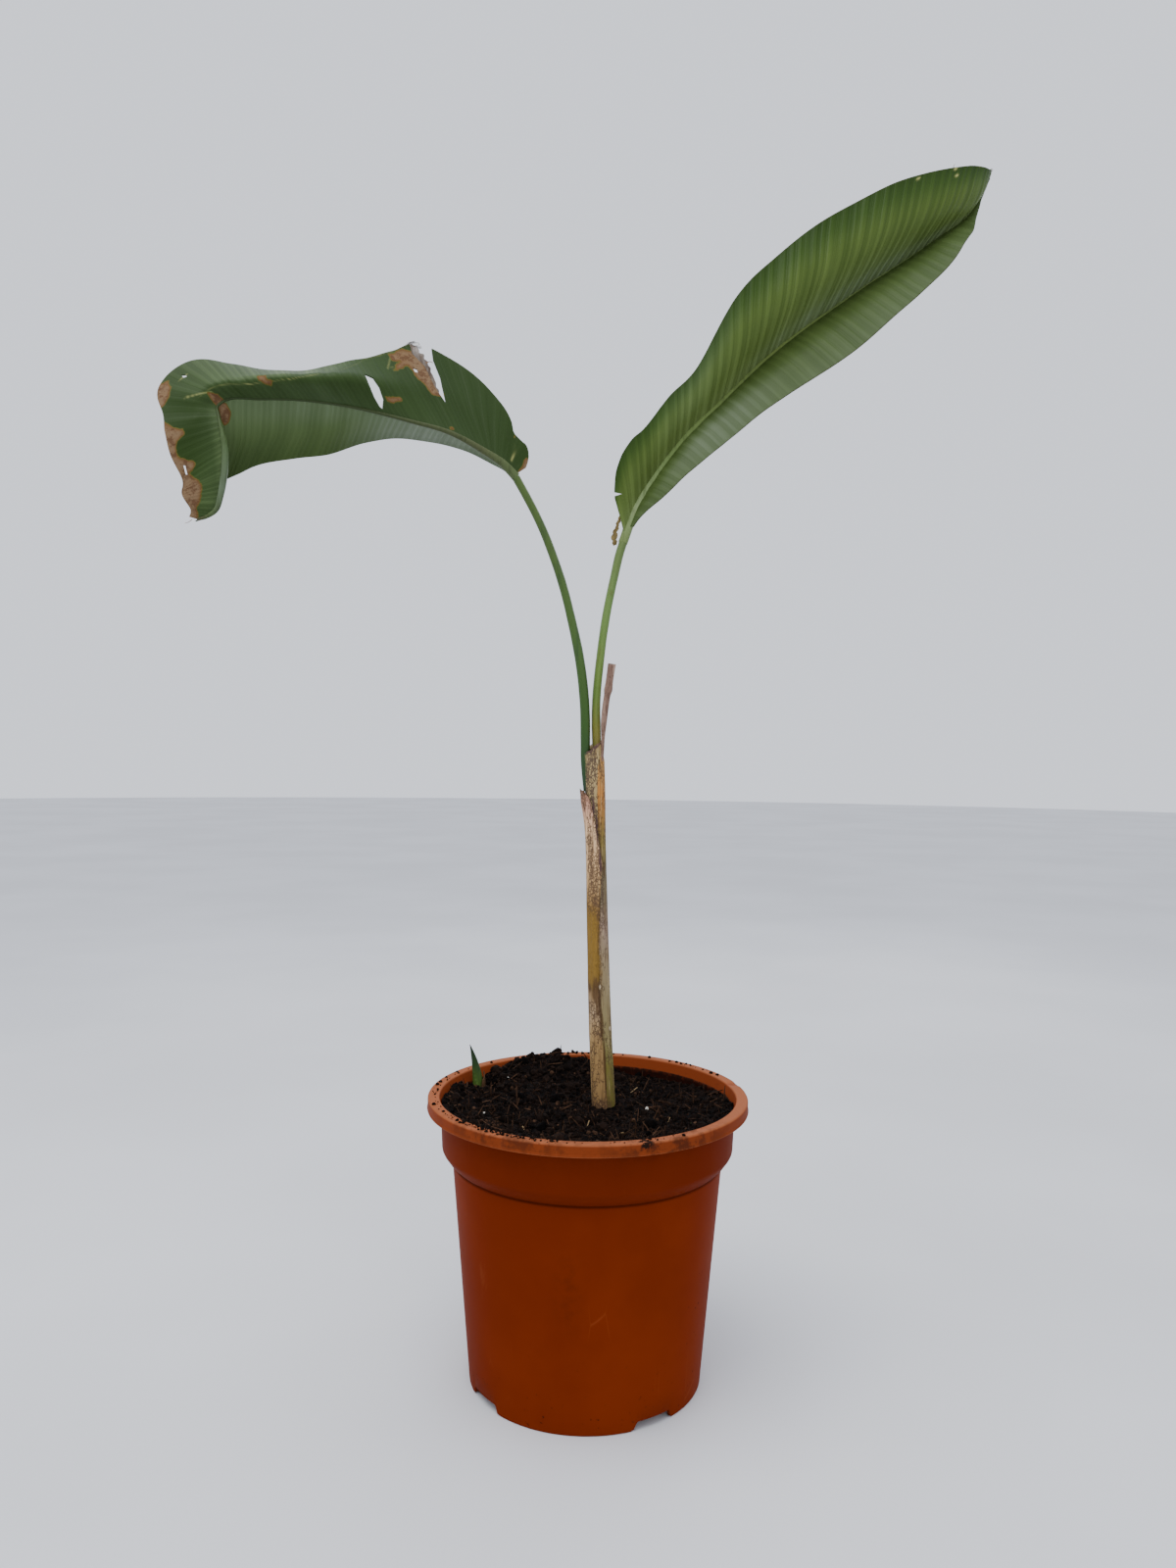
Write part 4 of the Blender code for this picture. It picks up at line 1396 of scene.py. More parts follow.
@dataclass
class Compost:
    """Peat that fills the pot, with crumbs, fibres, perlite and straw on it."""

    level: float = 0.1715
    mounds: Rows = (
        (-0.034, 0.058, 0.03, 0.0055), (-0.05, -0.04, 0.03, 0.003), (0.04, -0.05, 0.03, 0.002),
        (0.055, 0.06, 0.028, -0.001), (-0.062, 0.02, 0.026, 0.004), (0.05, 0.01, 0.028, 0.002),
    )
    stem_place: Rows = ((0.011, 0.013, 0.1722), (-0.0762, 0.044, 0.1725))
    brim: Rows = (
        (-180, 0.1802), (-140, 0.1808), (-90, 0.1812), (-40, 0.1806), (-5, 0.18), (12, 0.1785),
        (25, 0.1755), (45, 0.1745), (70, 0.174), (80, 0.1755), (92, 0.1815), (104, 0.183), (116, 0.1822),
        (128, 0.18), (138, 0.1775), (150, 0.1775), (162, 0.179), (180, 0.1802),
    )
    throat: Rows = ((0.1522, 0.093), (0.1768, 0.093), (0.1786, 0.0943), (0.1849, 0.0965), (0.186, 0.0966))
    rings: int = 88
    segments: int = 280
    perlite: Rows = (
        (0.0391, 0.0009, 1.2), (0.0367, -0.0217, 0.9), (-0.0561, 0.0482, 0.8), (-0.0667, -0.0184, 0.8),
        (-0.06, 0.078, 0.9),
    )
    rim_heaps: Rows = ((238, 28, 2.4), (98, 20, 1.3), (292, 14, 0.8), (180, 40, 0.6), (45, 30, 0.5))
    straws: Rows = (
        (0.0003, -0.0275, 8, 80), (0.0528, -0.0156, 8, 75), (0.0317, 0.0445, 12, 60),
        (-0.04, -0.045, 7, 110), (0.018, -0.048, 9, 10),
    )

    def heights(self, x: Array, y: Array) -> Array:
        """The lumpy surface, kept level round the stem and the shoot.

        Args:
            x: places in metres.
            y: places in metres.

        Returns:
            Heights in metres.
        """
        height = np.full(np.shape(x), self.level)
        lift = straight(self.brim, np.degrees(np.arctan2(y, x))) - self.level
        height = height + lift * eased(0.058, 0.092, np.hypot(x, y))
        for centre_x, centre_y, spread, lift in self.mounds:
            height = height + lift * np.exp(-((x - centre_x) ** 2 + (y - centre_y) ** 2) / (2 * spread**2))
        height = height + 0.0019 * mottle(x, y, 0.013, 5, 2) + 0.0011 * np.abs(mottle(x, y, 0.0055, 9, 3))
        for centre_x, centre_y, foot in self.stem_place:
            near = eased(0.007, 0.02, np.hypot(x - centre_x, y - centre_y))
            height = near * height + (1 - near) * (foot + 0.0014 + 0.0014 * mottle(x, y, 0.004, 21, 2))
        return height

    def build(self) -> None:
        """The plug of peat and what lies on it."""
        pot = Pot()
        angles = around(self.segments)
        shares = np.linspace(0.02, 1.0, self.rings) ** 0.85
        throat = self.throat[0][1]
        brim = self.heights(throat * np.cos(angles), throat * np.sin(angles))
        reach = (straight(self.throat, brim) - CLEAR)[None] * shares[:, None]
        x, y = reach * np.cos(angles), reach * np.sin(angles)
        z = self.heights(x, y)
        sides = []
        for height in (0.1786, 0.1768):
            level = np.minimum(z[-1] - 0.0186 + 0.1 * height, height)
            sides.append(ring(np.minimum(reach[-1], straight(self.throat, level) - CLEAR), angles, level))
        for radius, height in (
            (throat - CLEAR, pot.collar_foot), (pot.step_radius - pot.wall - 1.5 * CLEAR, pot.step_foot),
            (pot.base_radius + 0.0007 - pot.wall - CLEAR, pot.foot_height + pot.floor + CLEAR),
        ):
            sides.append(ring(radius, angles, height))
        rings = np.concatenate([np.stack([x, y, z], axis=-1), np.stack(sides)])
        hand_in(tube_object("compost", rings), 70, Peat("peat", 0.94, 0.04), Slot.SOIL, "compost")
        self.scatter(rings[: self.rings])

    def scatter(self, rings: Array) -> None:
        """Crumbs of three sizes, fibres, and the crumbs that lie on the rim.

        Args:
            rings: the compost's surface.
        """
        x, y = rings[..., 0], rings[..., 1]
        radius = np.hypot(x, y)
        stem = np.hypot(x - self.stem_place[0][0], y - self.stem_place[0][1])
        free = eased(0.0074, 0.0094, stem) * (1 - eased(-0.0022, -0.0012, radius - radius[-1]))
        heap = np.exp(-((x + 0.03) ** 2 + (y - 0.08) ** 2) / (2 * 0.03**2))
        tool = GrainScatter()
        some = free * (0.35 + 1.6 * heap)
        jobs = (
            ("crumbs_fine", free, DARK_GRIT, dict(Density=200000.0, Smallest=0.0004, Largest=0.0013, Seed=3)),
            ("crumbs_mid", free, DARK_GRIT,
             dict(Density=34000.0, Smallest=0.0009, Largest=0.0026, Seed=11, Sink=0.2)),
            ("crumbs_coarse", some, DARK_GRIT,
             dict(Density=9000.0, Smallest=0.0015, Largest=0.0046, Detail=2, Seed=23, Sink=0.1,
                  Lumpiness=0.8)),
            ("crumbs_brown", free, BROWN_GRIT,
             dict(Density=16000.0, Smallest=0.0005, Largest=0.0018, Seed=37, Sink=0.4)),
            ("fibres", free, BROWN_GRIT,
             dict(Density=26000.0, Smallest=0.0014, Largest=0.0085, Slimness=0.07, Seed=41, Sink=0.2,
                  Lumpiness=0.12)),
        )
        faces = quads(*rings.shape[:2], wrapped=True)
        for name, loose, finish, sizes in jobs:
            host = make_object(name, rings, faces, {"loose": loose}, outwards=False)
            tool.run(host, finish.material(), **sizes)
            place(host, Slot.SOIL, "compost")
        self.spill(tool)
        self.bits()

    def spill(self, tool: GrainScatter) -> None:
        """Crumbs along the rim's top and its inner edge.

        Args:
            tool: the crumb scatter.
        """
        pot = Pot()
        angles = np.linspace(0, 2 * math.pi, 241)
        reach = pot.rim_radius - np.array([[0.0066], [0.0045], [0.0026]])
        rings = ring(reach, angles[None], pot.height + 0.0001)
        bearing = np.degrees(angles)[None] % 360 + np.zeros((3, 1))
        loose = sum(amount * np.clip(1.2 - np.abs(bearing - centre) / half, 0, 1)
                    for centre, half, amount in self.rim_heaps)
        heap = np.clip(1.3 - np.abs(bearing - 104) / 13, 0, 1)
        jobs = (
            ("crumbs_rim", loose, dict(Density=150000.0, Smallest=0.0003, Largest=0.0016, Seed=53)),
            ("crumbs_spill", heap, dict(Density=60000.0, Smallest=0.0008, Largest=0.0034, Detail=2, Seed=61,
                                        Sink=0.2, Lumpiness=0.8)),
        )
        for name, amounts, sizes in jobs:
            host = make_object(name, rings, quads(3, 241), {"loose": amounts}, outwards=False)
            tool.run(host, DARK_GRIT.material(), **sizes)
            place(host, Slot.SOIL, "compost")

    def bits(self) -> None:
        """Perlite grains and pale straws."""
        grains = np.array([(x, y, float(self.heights(np.array(x), np.array(y)))) for x, y, _ in self.perlite])
        points, faces = [], []
        rng = np.random.default_rng(8)
        for (x, y, z), (_, _, size) in zip(grains, self.perlite):
            shape = bmesh.new()
            bmesh.ops.create_icosphere(shape, subdivisions=2, radius=size * MM)
            start = len(points)
            for corner in shape.verts:
                jitter = 1 + 0.22 * rng.uniform(-1, 1)
                points.append(tuple(Vector((x, y, z + 0.3 * size * MM)) + corner.co * jitter))
            faces += [[start + corner.index for corner in face.verts] for face in shape.faces]
            shape.free()
        perlite = make_object("perlite", np.array(points), faces)
        dress(perlite, Papery("perlite_white", 0.9, 0.2, (
            (0.2, (150, 146, 134)), (0.5, (190, 186, 176)), (0.8, (226, 222, 212)),
        )))
        place(perlite, Slot.SOIL, "compost")
        tool = StalkSweep()
        for i, (x, y, length, degrees) in enumerate(self.straws):
            t = np.linspace(-0.5, 0.5, 9)
            turn = math.radians(degrees)
            px, py = x + t * length * MM * math.cos(turn), y + t * length * MM * math.sin(turn)
            pz = self.heights(px, py).max() + 0.0004 + 0.0012 * t
            path = np.stack([px, py + 0.0006 * np.sin(5 * t), pz], axis=-1)
            rail = rail_object(f"straw_{i}", path, np.full(9, 0.00035), np.tile([0.0, 0.0, 1.0], (9, 1)))
            tool.run(rail, Papery("straw", 0.75, 0.3, (
                (0.3, (96, 74, 46)), (0.7, (150, 124, 84)),
            )).material(),
                     Section_Sides=7, Ridge_Height=0.0)
            soften(rail)
            place(rail, Slot.SOIL, "compost")


# Stem and stalks


@dataclass
class Pseudostem:
    """Stem of rolled leaf bases: a heart, the torn old sheath and the dry leaf's sheath."""

    axis: Rows = (
        (0.1722, 0.011, 0.013), (0.226, 0.008, 0.013), (0.284, 0.0057, 0.0128), (0.357, 0.0031, 0.0125),
        (0.385, 0.0016, 0.0123), (0.4185, -0.0002, 0.012),
    )
    girth: Rows = ((0.1722, 0.0062), (0.3, 0.0053), (0.357, 0.0051), (0.385, 0.006), (0.4185, 0.0065))
    foot: float = 0.1722
    fork: float = 0.4185
    slant: float = 0.0085
    wall: float = 0.0017
    front_seam: Rows = ((0.172, 292), (0.2, 283), (0.243, 270), (0.285, 271), (0.327, 296), (0.335, 312))
    back_seam: float = 95.0
    old_top: Rows = (
        (0, 0.36), (0.2, 0.374), (0.42, 0.3855), (0.6, 0.383), (0.7, 0.378), (0.85, 0.355), (1, 0.333),
    )
    flap: float = 0.0022
    dry_edge: Rows = ((0.335, 320), (0.357, 288), (0.382, 291), (0.411, 303))
    dry_top: Rows = ((0, 0.4), (0.25, 0.4105), (0.4, 0.4112), (0.6, 0.404), (1, 0.392))
    marks: tuple[tuple[str, float, float, float, float], ...] = (
        ("golden", 228, 0.29, 46, 0.016), ("golden", 232, 0.268, 50, 0.014),
        ("bruise", 250, 0.252, 18, 0.009), ("bruise", 262, 0.243, 12, 0.009),
        ("bruise", 275, 0.23, 8, 0.013), ("bruise", 210, 0.253, 12, 0.003), ("net", 255, 0.379, 14, 0.009),
        ("net", 272, 0.366, 14, 0.012), ("net", 286, 0.348, 13, 0.016), ("purple", 262, 0.374, 8, 0.006),
        ("purple", 292, 0.34, 8, 0.01), ("purple", 278, 0.36, 7, 0.01), ("bruise", 318, 0.331, 8, 0.004),
        ("bleach", 272, 0.2545, 5, 0.0016), ("bleach", 330, 0.2262, 7, 0.0014),
        ("net", 250, 0.175, 50, 0.003), ("green", 195, 0.408, 34, 0.022), ("net", 200, 0.392, 30, 0.016),
        ("bruise", 285, 0.2, 6, 0.022), ("net", 300, 0.315, 7, 0.014), ("net", 240, 0.335, 14, 0.02),
        ("net", 262, 0.31, 16, 0.014), ("net", 268, 0.405, 22, 0.012), ("net", 275, 0.285, 6, 0.018),
        ("net", 271, 0.245, 6, 0.018), ("bruise", 319, 0.333, 7, 0.004), ("net", 232, 0.3, 20, 0.006),
    )

    def centre(self, heights: Array) -> Array:
        """The stem's axis at these heights."""
        rows = smooth(self.axis, heights)
        return np.column_stack([rows, np.atleast_1d(heights)])

    def radius(self, heights: Array) -> Array:
        """The heart's radius at these heights."""
        return smooth(self.girth, heights)[:, 0]

    def painted(self, degrees: Array, heights: Array) -> dict[str, Array]:
        """The marks' fields at these angles round the stem and heights.

        Args:
            degrees: angles round the stem.
            heights: heights in metres.

        Returns:
            One array for each field.
        """
        fields = {name: np.zeros(np.shape(degrees)) for name in (*SHEATH_TINTS, "net")}
        for name, angle, height, half_angle, half_height in self.marks:
            away = (np.asarray(degrees) - angle + 180) % 360 - 180
            far = np.hypot(away / half_angle, (heights - height) / half_height)
            fields[name] = np.maximum(fields[name], np.clip(1.0 - 0.5 * far, 0, 1))
        return fields

    def heart(self) -> Thing:
        """The heart, closed by a low dome between the stalks.

        Returns:
            The heart.
        """
        degrees = np.arange(90) * 4.0
        angle = np.radians(degrees)[None]
        closing = np.concatenate([np.ones(190), [0.97, 0.9, 0.82, 0.66, 0.4, 0.15]])[:, None]
        level = np.concatenate([np.linspace(0, 1, 190), np.ones(6)])[:, None]
        top = self.fork - 0.0005 - self.slant * (0.5 + 0.5 * np.cos(angle - math.radians(200)))
        top = top + 0.0004 * wander(degrees[None], 14, 3)
        heights = self.foot + (top - self.foot) * level - 0.0012 * (1 - closing)
        centres = self.centre(heights.ravel()).reshape(*heights.shape, 3)
        relief = 0.00012 * wander(degrees[None] + 12 * wander(heights, 0.03, 4), 9, 6)
        reach = (self.radius(heights.ravel()).reshape(heights.shape) + relief) * closing
        rings = centres + ring(reach, angle)
        fields = self.painted(np.broadcast_to(degrees[None], heights.shape), heights)
        rim = eased(0.0022, 0.0006, top - heights) * eased(0.5, -0.2, np.sin(angle)) * 0.9
        fields["purple"] = np.maximum(fields["purple"], rim)
        thing = tube_object("stem", rings, fields)
        soften(thing, 60)
        dress(thing, SheathSkin("stem_heart", 0.68, 0.15, heights=(
            (0, (96, 84, 44)), (0.5, (112, 100, 56)), (0.62, (128, 114, 72)), (0.72, (164, 142, 96)),
            (0.92, (184, 160, 112)), (1, (164, 140, 90)),
        ), speckles=0.9, speckle=(74, 58, 50)))
        return place(thing, Slot.STEM, "stem")

    def sheath(self, name: str, top: Rows, first: Callable[[Array], Array],
               last: Callable[[Array], Array], lift: float, flap: float, ragged: float,
               seed: int) -> Thing:
        """One wrapped sheath as a closed wall.

        Args:
            name: the piece's name.
            top: height of its torn edge by the share round the stem.
            first: angle of its one edge by height.
            last: angle of its other edge by height.
            lift: how far it stands off the heart.
            flap: how far its top leans out on the left.
            ragged: how uneven the torn edge is.
            seed: picks the unevenness.

        Returns:
            The object.
        """
        columns, rows = 74, 150
        share = np.linspace(0, 1, columns)
        uneven = wander(share, 0.035, seed) + 0.6 * wander(share, 0.012, seed + 1)
        edge = straight(top, share) + ragged * uneven
        t = np.linspace(0, 1, rows)[:, None]
        heights = self.foot + (edge[None] - self.foot) * t
        start, end = first(heights), last(heights)
        degrees = start + share[None] * (end - start)
        degrees = degrees + 1.2 * wander(heights, 0.02, seed + 2) * (np.abs(share - 0.5)[None] * 2) ** 6
        angle = np.radians(degrees)
        flat = heights.ravel()
        centres = self.centre(flat).reshape(rows, columns, 3)
        lean = flap * np.clip((t - 0.86) / 0.14, 0, 1) ** 2 * np.clip(-np.cos(angle), 0, 1) ** 2
        relief = 0.00016 * wander(degrees + 10 * wander(heights, 0.04, seed + 3), 7, seed + 4)
        relief += 0.0001 * wander(degrees + 6 * wander(heights, 0.02, seed + 5), 2.6, seed + 6)
        reach = self.radius(flat).reshape(rows, columns) + lift + lean
        thin = np.clip(np.minimum(share, 1 - share)[None] / 0.05, 0.25, 1) * np.clip((1 - t) / 0.03, 0.3, 1)
        fields = self.painted(degrees, heights)
        out = ring(1.0, angle)
        u, v = np.broadcast_to(t, heights.shape), np.broadcast_to(share[None], heights.shape)
        outer = Sheet(centres + out * (reach + 0.0012 * thin + relief)[..., None], u, v, fields)
        inner = Sheet(centres + out * reach[..., None], u, v, fields)
        thing = shell_object(name, outer, inner)
        soften(thing, 60)
        return thing

    def front(self, heights: Array) -> Array:
        """The front seam's angle at these heights."""
        return straight(self.front_seam, heights)

    def dry_left(self, heights: Array) -> Array:
        """The dry sheath's left edge, tucked a little under the old sheath below its top."""
        low = straight(self.front_seam, heights) - 6
        return np.where(heights > self.dry_edge[0][0], straight(self.dry_edge, heights), low)

    def build(self) -> None:
        """The heart and its two sheaths."""
        self.heart()
        old = self.sheath("old_sheath", self.old_top, lambda z: np.full(z.shape, self.back_seam), self.front,
                          0.0008, self.flap, 0.0007, 31)
        dress(old, SheathSkin("sheath_old", 0.66, 0.15, heights=(
            (0, (124, 94, 58)), (0.05, (152, 120, 76)), (0.18, (172, 138, 88)), (0.27, (186, 158, 122)),
            (0.31, (150, 122, 86)), (0.335, (104, 80, 48)), (0.37, (124, 96, 52)), (0.46, (136, 104, 48)),
            (0.54, (142, 108, 56)), (0.62, (196, 158, 110)), (0.75, (230, 190, 146)),
            (0.81, (206, 158, 130)), (0.86, (150, 104, 82)), (1, (92, 62, 48)),
        ), speckles=0.85))
        place(old, Slot.STEM, "old_sheath")
        dry = self.sheath("dry_sheath", self.dry_top, self.dry_left,
                          lambda z: np.full(z.shape, 360 + self.back_seam + 4.0), 0.0002, 0.0, 0.0006, 47)
        dress(dry, SheathSkin("sheath_dry", 0.7, 0.15, heights=(
            (0, (108, 98, 46)), (0.12, (120, 114, 54)), (0.22, (142, 128, 88)), (0.42, (144, 126, 98)),
            (0.5, (148, 126, 110)), (0.56, (116, 104, 80)), (0.64, (110, 98, 70)), (0.72, (132, 114, 56)),
            (0.8, (158, 110, 54)), (0.84, (178, 118, 56)), (0.92, (182, 136, 78)), (1, (118, 76, 48)),
        ), speckles=0.7))
        place(dry, Slot.DRY, "dry_sheath")


@dataclass
class Stalks:
    """The two green leaf stalks and the broken dry one."""

    left: Rows = (
        (-3.2, 11.9, 384, 2.1), (-4, 12, 402, 3.3), (-4.2, 12, 418.8, 3.6), (-4.5, 11.9, 434.4, 3.6),
        (-8.9, 11, 473.1, 3.5), (-14, 10.2, 496.2, 3.2), (-20.1, 8.9, 519.1, 3.1), (-28, 7.4, 541.7, 3),
        (-34.2, 6.4, 556.6, 2.9), (-40.9, 5.4, 570, 2.9), (-46.7, 4.7, 580.4, 2.9), (-51.6, 4, 588.8, 3),
    )
    right: Rows = (
        (3.2, 12.2, 404, 2.8), (2.7, 12.4, 418.8, 3.2), (2.2, 12.9, 440, 3), (4.7, 14.3, 473.6, 2.9),
        (8.9, 16.1, 505, 2.9), (13.6, 18.1, 528.6, 2.9), (16.6, 19.3, 542.5, 3), (18.8, 20, 549.8, 3),
    )
    dry: Rows = (
        (6.6, 8.8, 404, 0.9), (7, 8.8, 411.8, 1), (7.2, 8.8, 419.5, 1.2), (7.6, 8.8, 430, 1.9),
        (8.8, 9, 442.2, 2.1), (9.6, 9.1, 448, 2.15), (10.2, 9.2, 451.5, 2.7), (10.6, 9.2, 454.5, 2.45),
        (10.9, 9.2, 457, 2.4), (12.5, 9.4, 468.4, 2.6),
    )

    def build(self, tool: StalkSweep) -> None:
        """Sweeps each stalk.

        Args:
            tool: the stalk sweep.
        """
        jobs = (
            ("left_petiole", self.left, (1.0, 0.0, 0.2), Slot.STALK, Stalk("stalk_left", 0.42, 0.16, (
                (0, (40, 60, 42)), (0.2, (50, 78, 32)), (0.5, (66, 90, 42)), (1, (72, 90, 44)),
            ),
                streak=(46, 66, 40), scar=(84, 76, 44))),
            ("right_petiole", self.right, (-0.8, -0.6, 0.0), Slot.STALK, Stalk("stalk_right", 0.42, 0.16, (
                (0, (104, 86, 42)), (0.14, (110, 106, 46)), (0.3, (98, 120, 54)), (0.7, (94, 120, 62)),
                (1, (88, 104, 58)),
            ), streak=(72, 96, 46), scar=(84, 70, 38), scars=0.4)),
            ("dry_petiole", self.dry, (0.0, -1.0, 0.0), Slot.DRY, Papery("stalk_dry", 0.8, 0.12,
             ((0.3, (78, 56, 48)), (0.5, (128, 102, 88)), (0.72, (184, 158, 140))))),
        )
        for name, table, facing, slot, finish in jobs:
            rows = smooth(along(table), np.linspace(0, 1, 120)) * MM
            path = rows[:, :3]
            rail = rail_object(name, path, rows[:, 3], self.turned(path, facing))
            groove, ridge = (0.22, 0.012) if slot is Slot.STALK else (0.35, 0.05)
            tool.run(rail, finish.material(), Section_Sides=36, Groove_Depth=groove, Groove_Start=0.35,
                     Ridges=11.0, Ridge_Height=ridge, Wobble=0.0003)
            soften(rail, 50)
            place(rail, slot, name)

    @staticmethod
    def turned(path: Array, facing: tuple[float, float, float]) -> Array:
        """The facing made square to the path at each of its points.

        Args:
            path: points along the stalk.
            facing: the direction to square.

        Returns:
            A unit direction for each point.
        """
        ahead = unit(np.gradient(path, axis=0))
        wanted = np.tile(np.asarray(facing, float), (len(path), 1))
        return unit(wanted - ahead * (wanted * ahead).sum(axis=1, keepdims=True))


# Leaves


@dataclass(frozen=True)
class Mark:
    """A painted patch on a blade: which field, its middle and its half sizes in surface coordinates."""

    kind: str
    place: float
    across: float
    half_place: float
    half_across: float
    strength: float = 1.0


Outline = tuple[float, ...]
PatchRow = tuple[float, float, Outline]


@dataclass(frozen=True)
class Patch:
    """A painted patch, or a line, on a blade, by its (x, z) outline in millimetres."""

    kind: str
    outline: Outline
    reach: float = 2.5
    strength: float = 1.0
    closed: bool = True

    def field(self, points: Array) -> Array:
        """The patch's strength at each point: 0.5 on a closed outline, 1 on a line.

        Args:
            points: places in metres.

        Returns:
            One value for each point.
        """
        corners = np.reshape(np.asarray(self.outline, float), (-1, 2)) * MM
        ends = np.roll(corners, -1, axis=0) if self.closed else corners[1:]
        x, z = points[..., 0], points[..., 2]
        nearest, within = np.full(x.shape, 1.0), np.zeros(x.shape, bool)
        for (ax, az), (bx, bz) in zip(corners, ends):
            run = (bx - ax) ** 2 + (bz - az) ** 2
            t = np.clip(((x - ax) * (bx - ax) + (z - az) * (bz - az)) / run, 0, 1)
            nearest = np.minimum(nearest, np.hypot(x - ax - t * (bx - ax), z - az - t * (bz - az)))
            crossed = x < (bx - ax) * (z - az) / (bz - az if bz != az else 1e-9) + ax
            within ^= ((az > z) != (bz > z)) & crossed
        reach = self.reach * MM
        if not self.closed:
            return self.strength * np.exp(-((nearest / reach) ** 2))
        return self.strength * np.clip(0.5 + np.where(within, nearest, -nearest) / (2 * reach), 0, 1)


@dataclass(frozen=True)
class Half:
    """One half of a blade, laid out vein by vein from the midrib to the margin."""

    name: str
    veins: Rows
    start: float
    end: float
    softness: float
    rows: int
    columns: int
    seed: int
    faces: tuple[LeafSkin, LeafSkin]
    marks: tuple[Mark | Patch, ...] = ()
    ridge: Rows = ()
    wave: float = 0.0009
    rents: tuple[Outline, ...] = ()


@dataclass
class Leaf:
    """A blade of two halves on a midrib."""

    name: str
    midrib: Rows
    halves: tuple[Half, ...]
    rib_girth: Rows
    rib_finish: Stalk
    rib_end: float
    nodes: tuple[str, ...]
    rib_sunk: float = 0.42
    pleat: float = 0.00022
    thickness: float = 0.0008

    def veins(self, half: Half, places: Array) -> Array:
        """Points along each vein.

        Args:
            half: the half that the veins belong to.
            places: places along the midrib, one for each vein.

        Returns:
            Points as (vein, place along it, 3).
        """
        feet = smooth(along(self.midrib), places) * MM
        rows = smooth(half.veins, places)
        length, fold = rows[:, :1] * MM, rows[:, 5:6]
        steps = 60
        reach = np.linspace(0, 1, steps + 1)[None]
        turn = np.clip((reach - fold + half.softness) / (2 * half.softness), 0, 1)
        turn = turn * turn * (3 - 2 * turn)
        bearing = np.radians(rows[:, 1:2] * (1 - turn) + rows[:, 2:3] * turn)
        pitch = np.radians(rows[:, 3:4] * (1 - turn) + rows[:, 4:5] * turn)
        level = np.cos(pitch)
        heading = np.stack([level * np.cos(bearing), -np.sin(pitch), level * np.sin(bearing)], axis=-1)
        path = np.cumsum((heading[:, 1:] + heading[:, :-1]) / (2 * steps), axis=1)
        path = np.concatenate([np.zeros((len(places), 1, 3)), path], axis=1)
        fine = np.linspace(0, steps, half.columns)
        low = np.minimum(fine.astype(int), steps - 1)
        part = (fine - low)[None, :, None]
        path = path[:, low] * (1 - part) + path[:, low + 1] * part
        return feet[:, None] + path * length[:, :, None]

    def sheet(self, half: Half) -> Sheet:
        """The half as a fine sheet with pleats, a wavy margin and its painted fields.

        Args:
            half: the half blade.

        Returns:
            Its points and fields.
        """
        places = np.linspace(half.start, half.end, half.rows)
        share = np.linspace(0, 1, half.columns)
        points = self.veins(half, places)
        u = np.broadcast_to(places[:, None], points.shape[:2])
        v = np.broadcast_to(share[None], points.shape[:2])
        sheet = Sheet(points, u, v)
        pleats = self.pleat * wander(u, 1 / 56, half.seed) * np.sin(np.pi * np.clip(v, 0, 1)) ** 0.6
        pleats += 0.4 * self.pleat * wander(u, 1 / 170, half.seed + 1) * np.sin(np.pi * v) ** 0.5
        margin = half.wave * wander(u, 0.07, half.seed + 2) * v**3
        ends = eased(0.0, 0.03, u - half.start) * eased(0.0, 0.03, half.end - u)
        sheet = sheet.raised((pleats + margin) * ends)
        sheet.fields = self.painted(half, sheet)
        return sheet

    @staticmethod
    def painted(half: Half, sheet: Sheet) -> dict[str, Array]:
        """The marks' fields over the half.

        Args:
            half: the half blade.
            sheet: its points.

        Returns:
            One array for each field.
        """
        u, v = sheet.u, sheet.v
        fields = {name: np.zeros(u.shape) for name in ("scorch", "bloom", "crease", "deep")}
        for mark in half.marks:
            if isinstance(mark, Patch):
                value = mark.field(sheet.points)
            else:
                far = np.hypot((u - mark.place) / mark.half_place, (v - mark.across) / mark.half_across)
                value = mark.strength * (1 - eased(0.2, 1.2, far))
            fields[mark.kind] = np.maximum(fields[mark.kind], value)
        if half.ridge:
            rows = np.asarray(half.ridge)
            line = np.interp(u, rows[:, 0], rows[:, 1]) + 0.006 * wander(u, 0.02, 75)
            strength = np.interp(u, rows[:, 0], rows[:, 2], left=0, right=0)
            strength = strength * (0.6 + 0.4 * wander(u, 0.015, 76))
            wide = 0.0065 * (1 + 0.5 * wander(u, 0.03, 77))
            fields["crease"] = np.maximum(fields["crease"], strength * np.exp(-(((v - line) / wide) ** 2)))
            # Painted light: the band beyond the ridge, which faces up, is lightened with the painted sheen's
            # colour.
            beyond = np.interp(u, rows[:, 0], rows[:, 3]) * eased(0.0, 0.12, v - line)
            fields["bloom"] = np.maximum(fields["bloom"], beyond)
        return fields

    def build(self, tool: StalkSweep) -> None:
        """The halves and the midrib.

        Args:
            tool: the stalk sweep.
        """
        for half in self.halves:
            thing = sheet_object(half.name, self.sheet(half))
            if half.rents:
                self.tear(thing, half.rents)
            thicken(thing, self.thickness, 1, *half.faces)
            soften(thing, 55)
            place(thing, Slot.LEAF, *self.nodes)
        self.rib(tool)

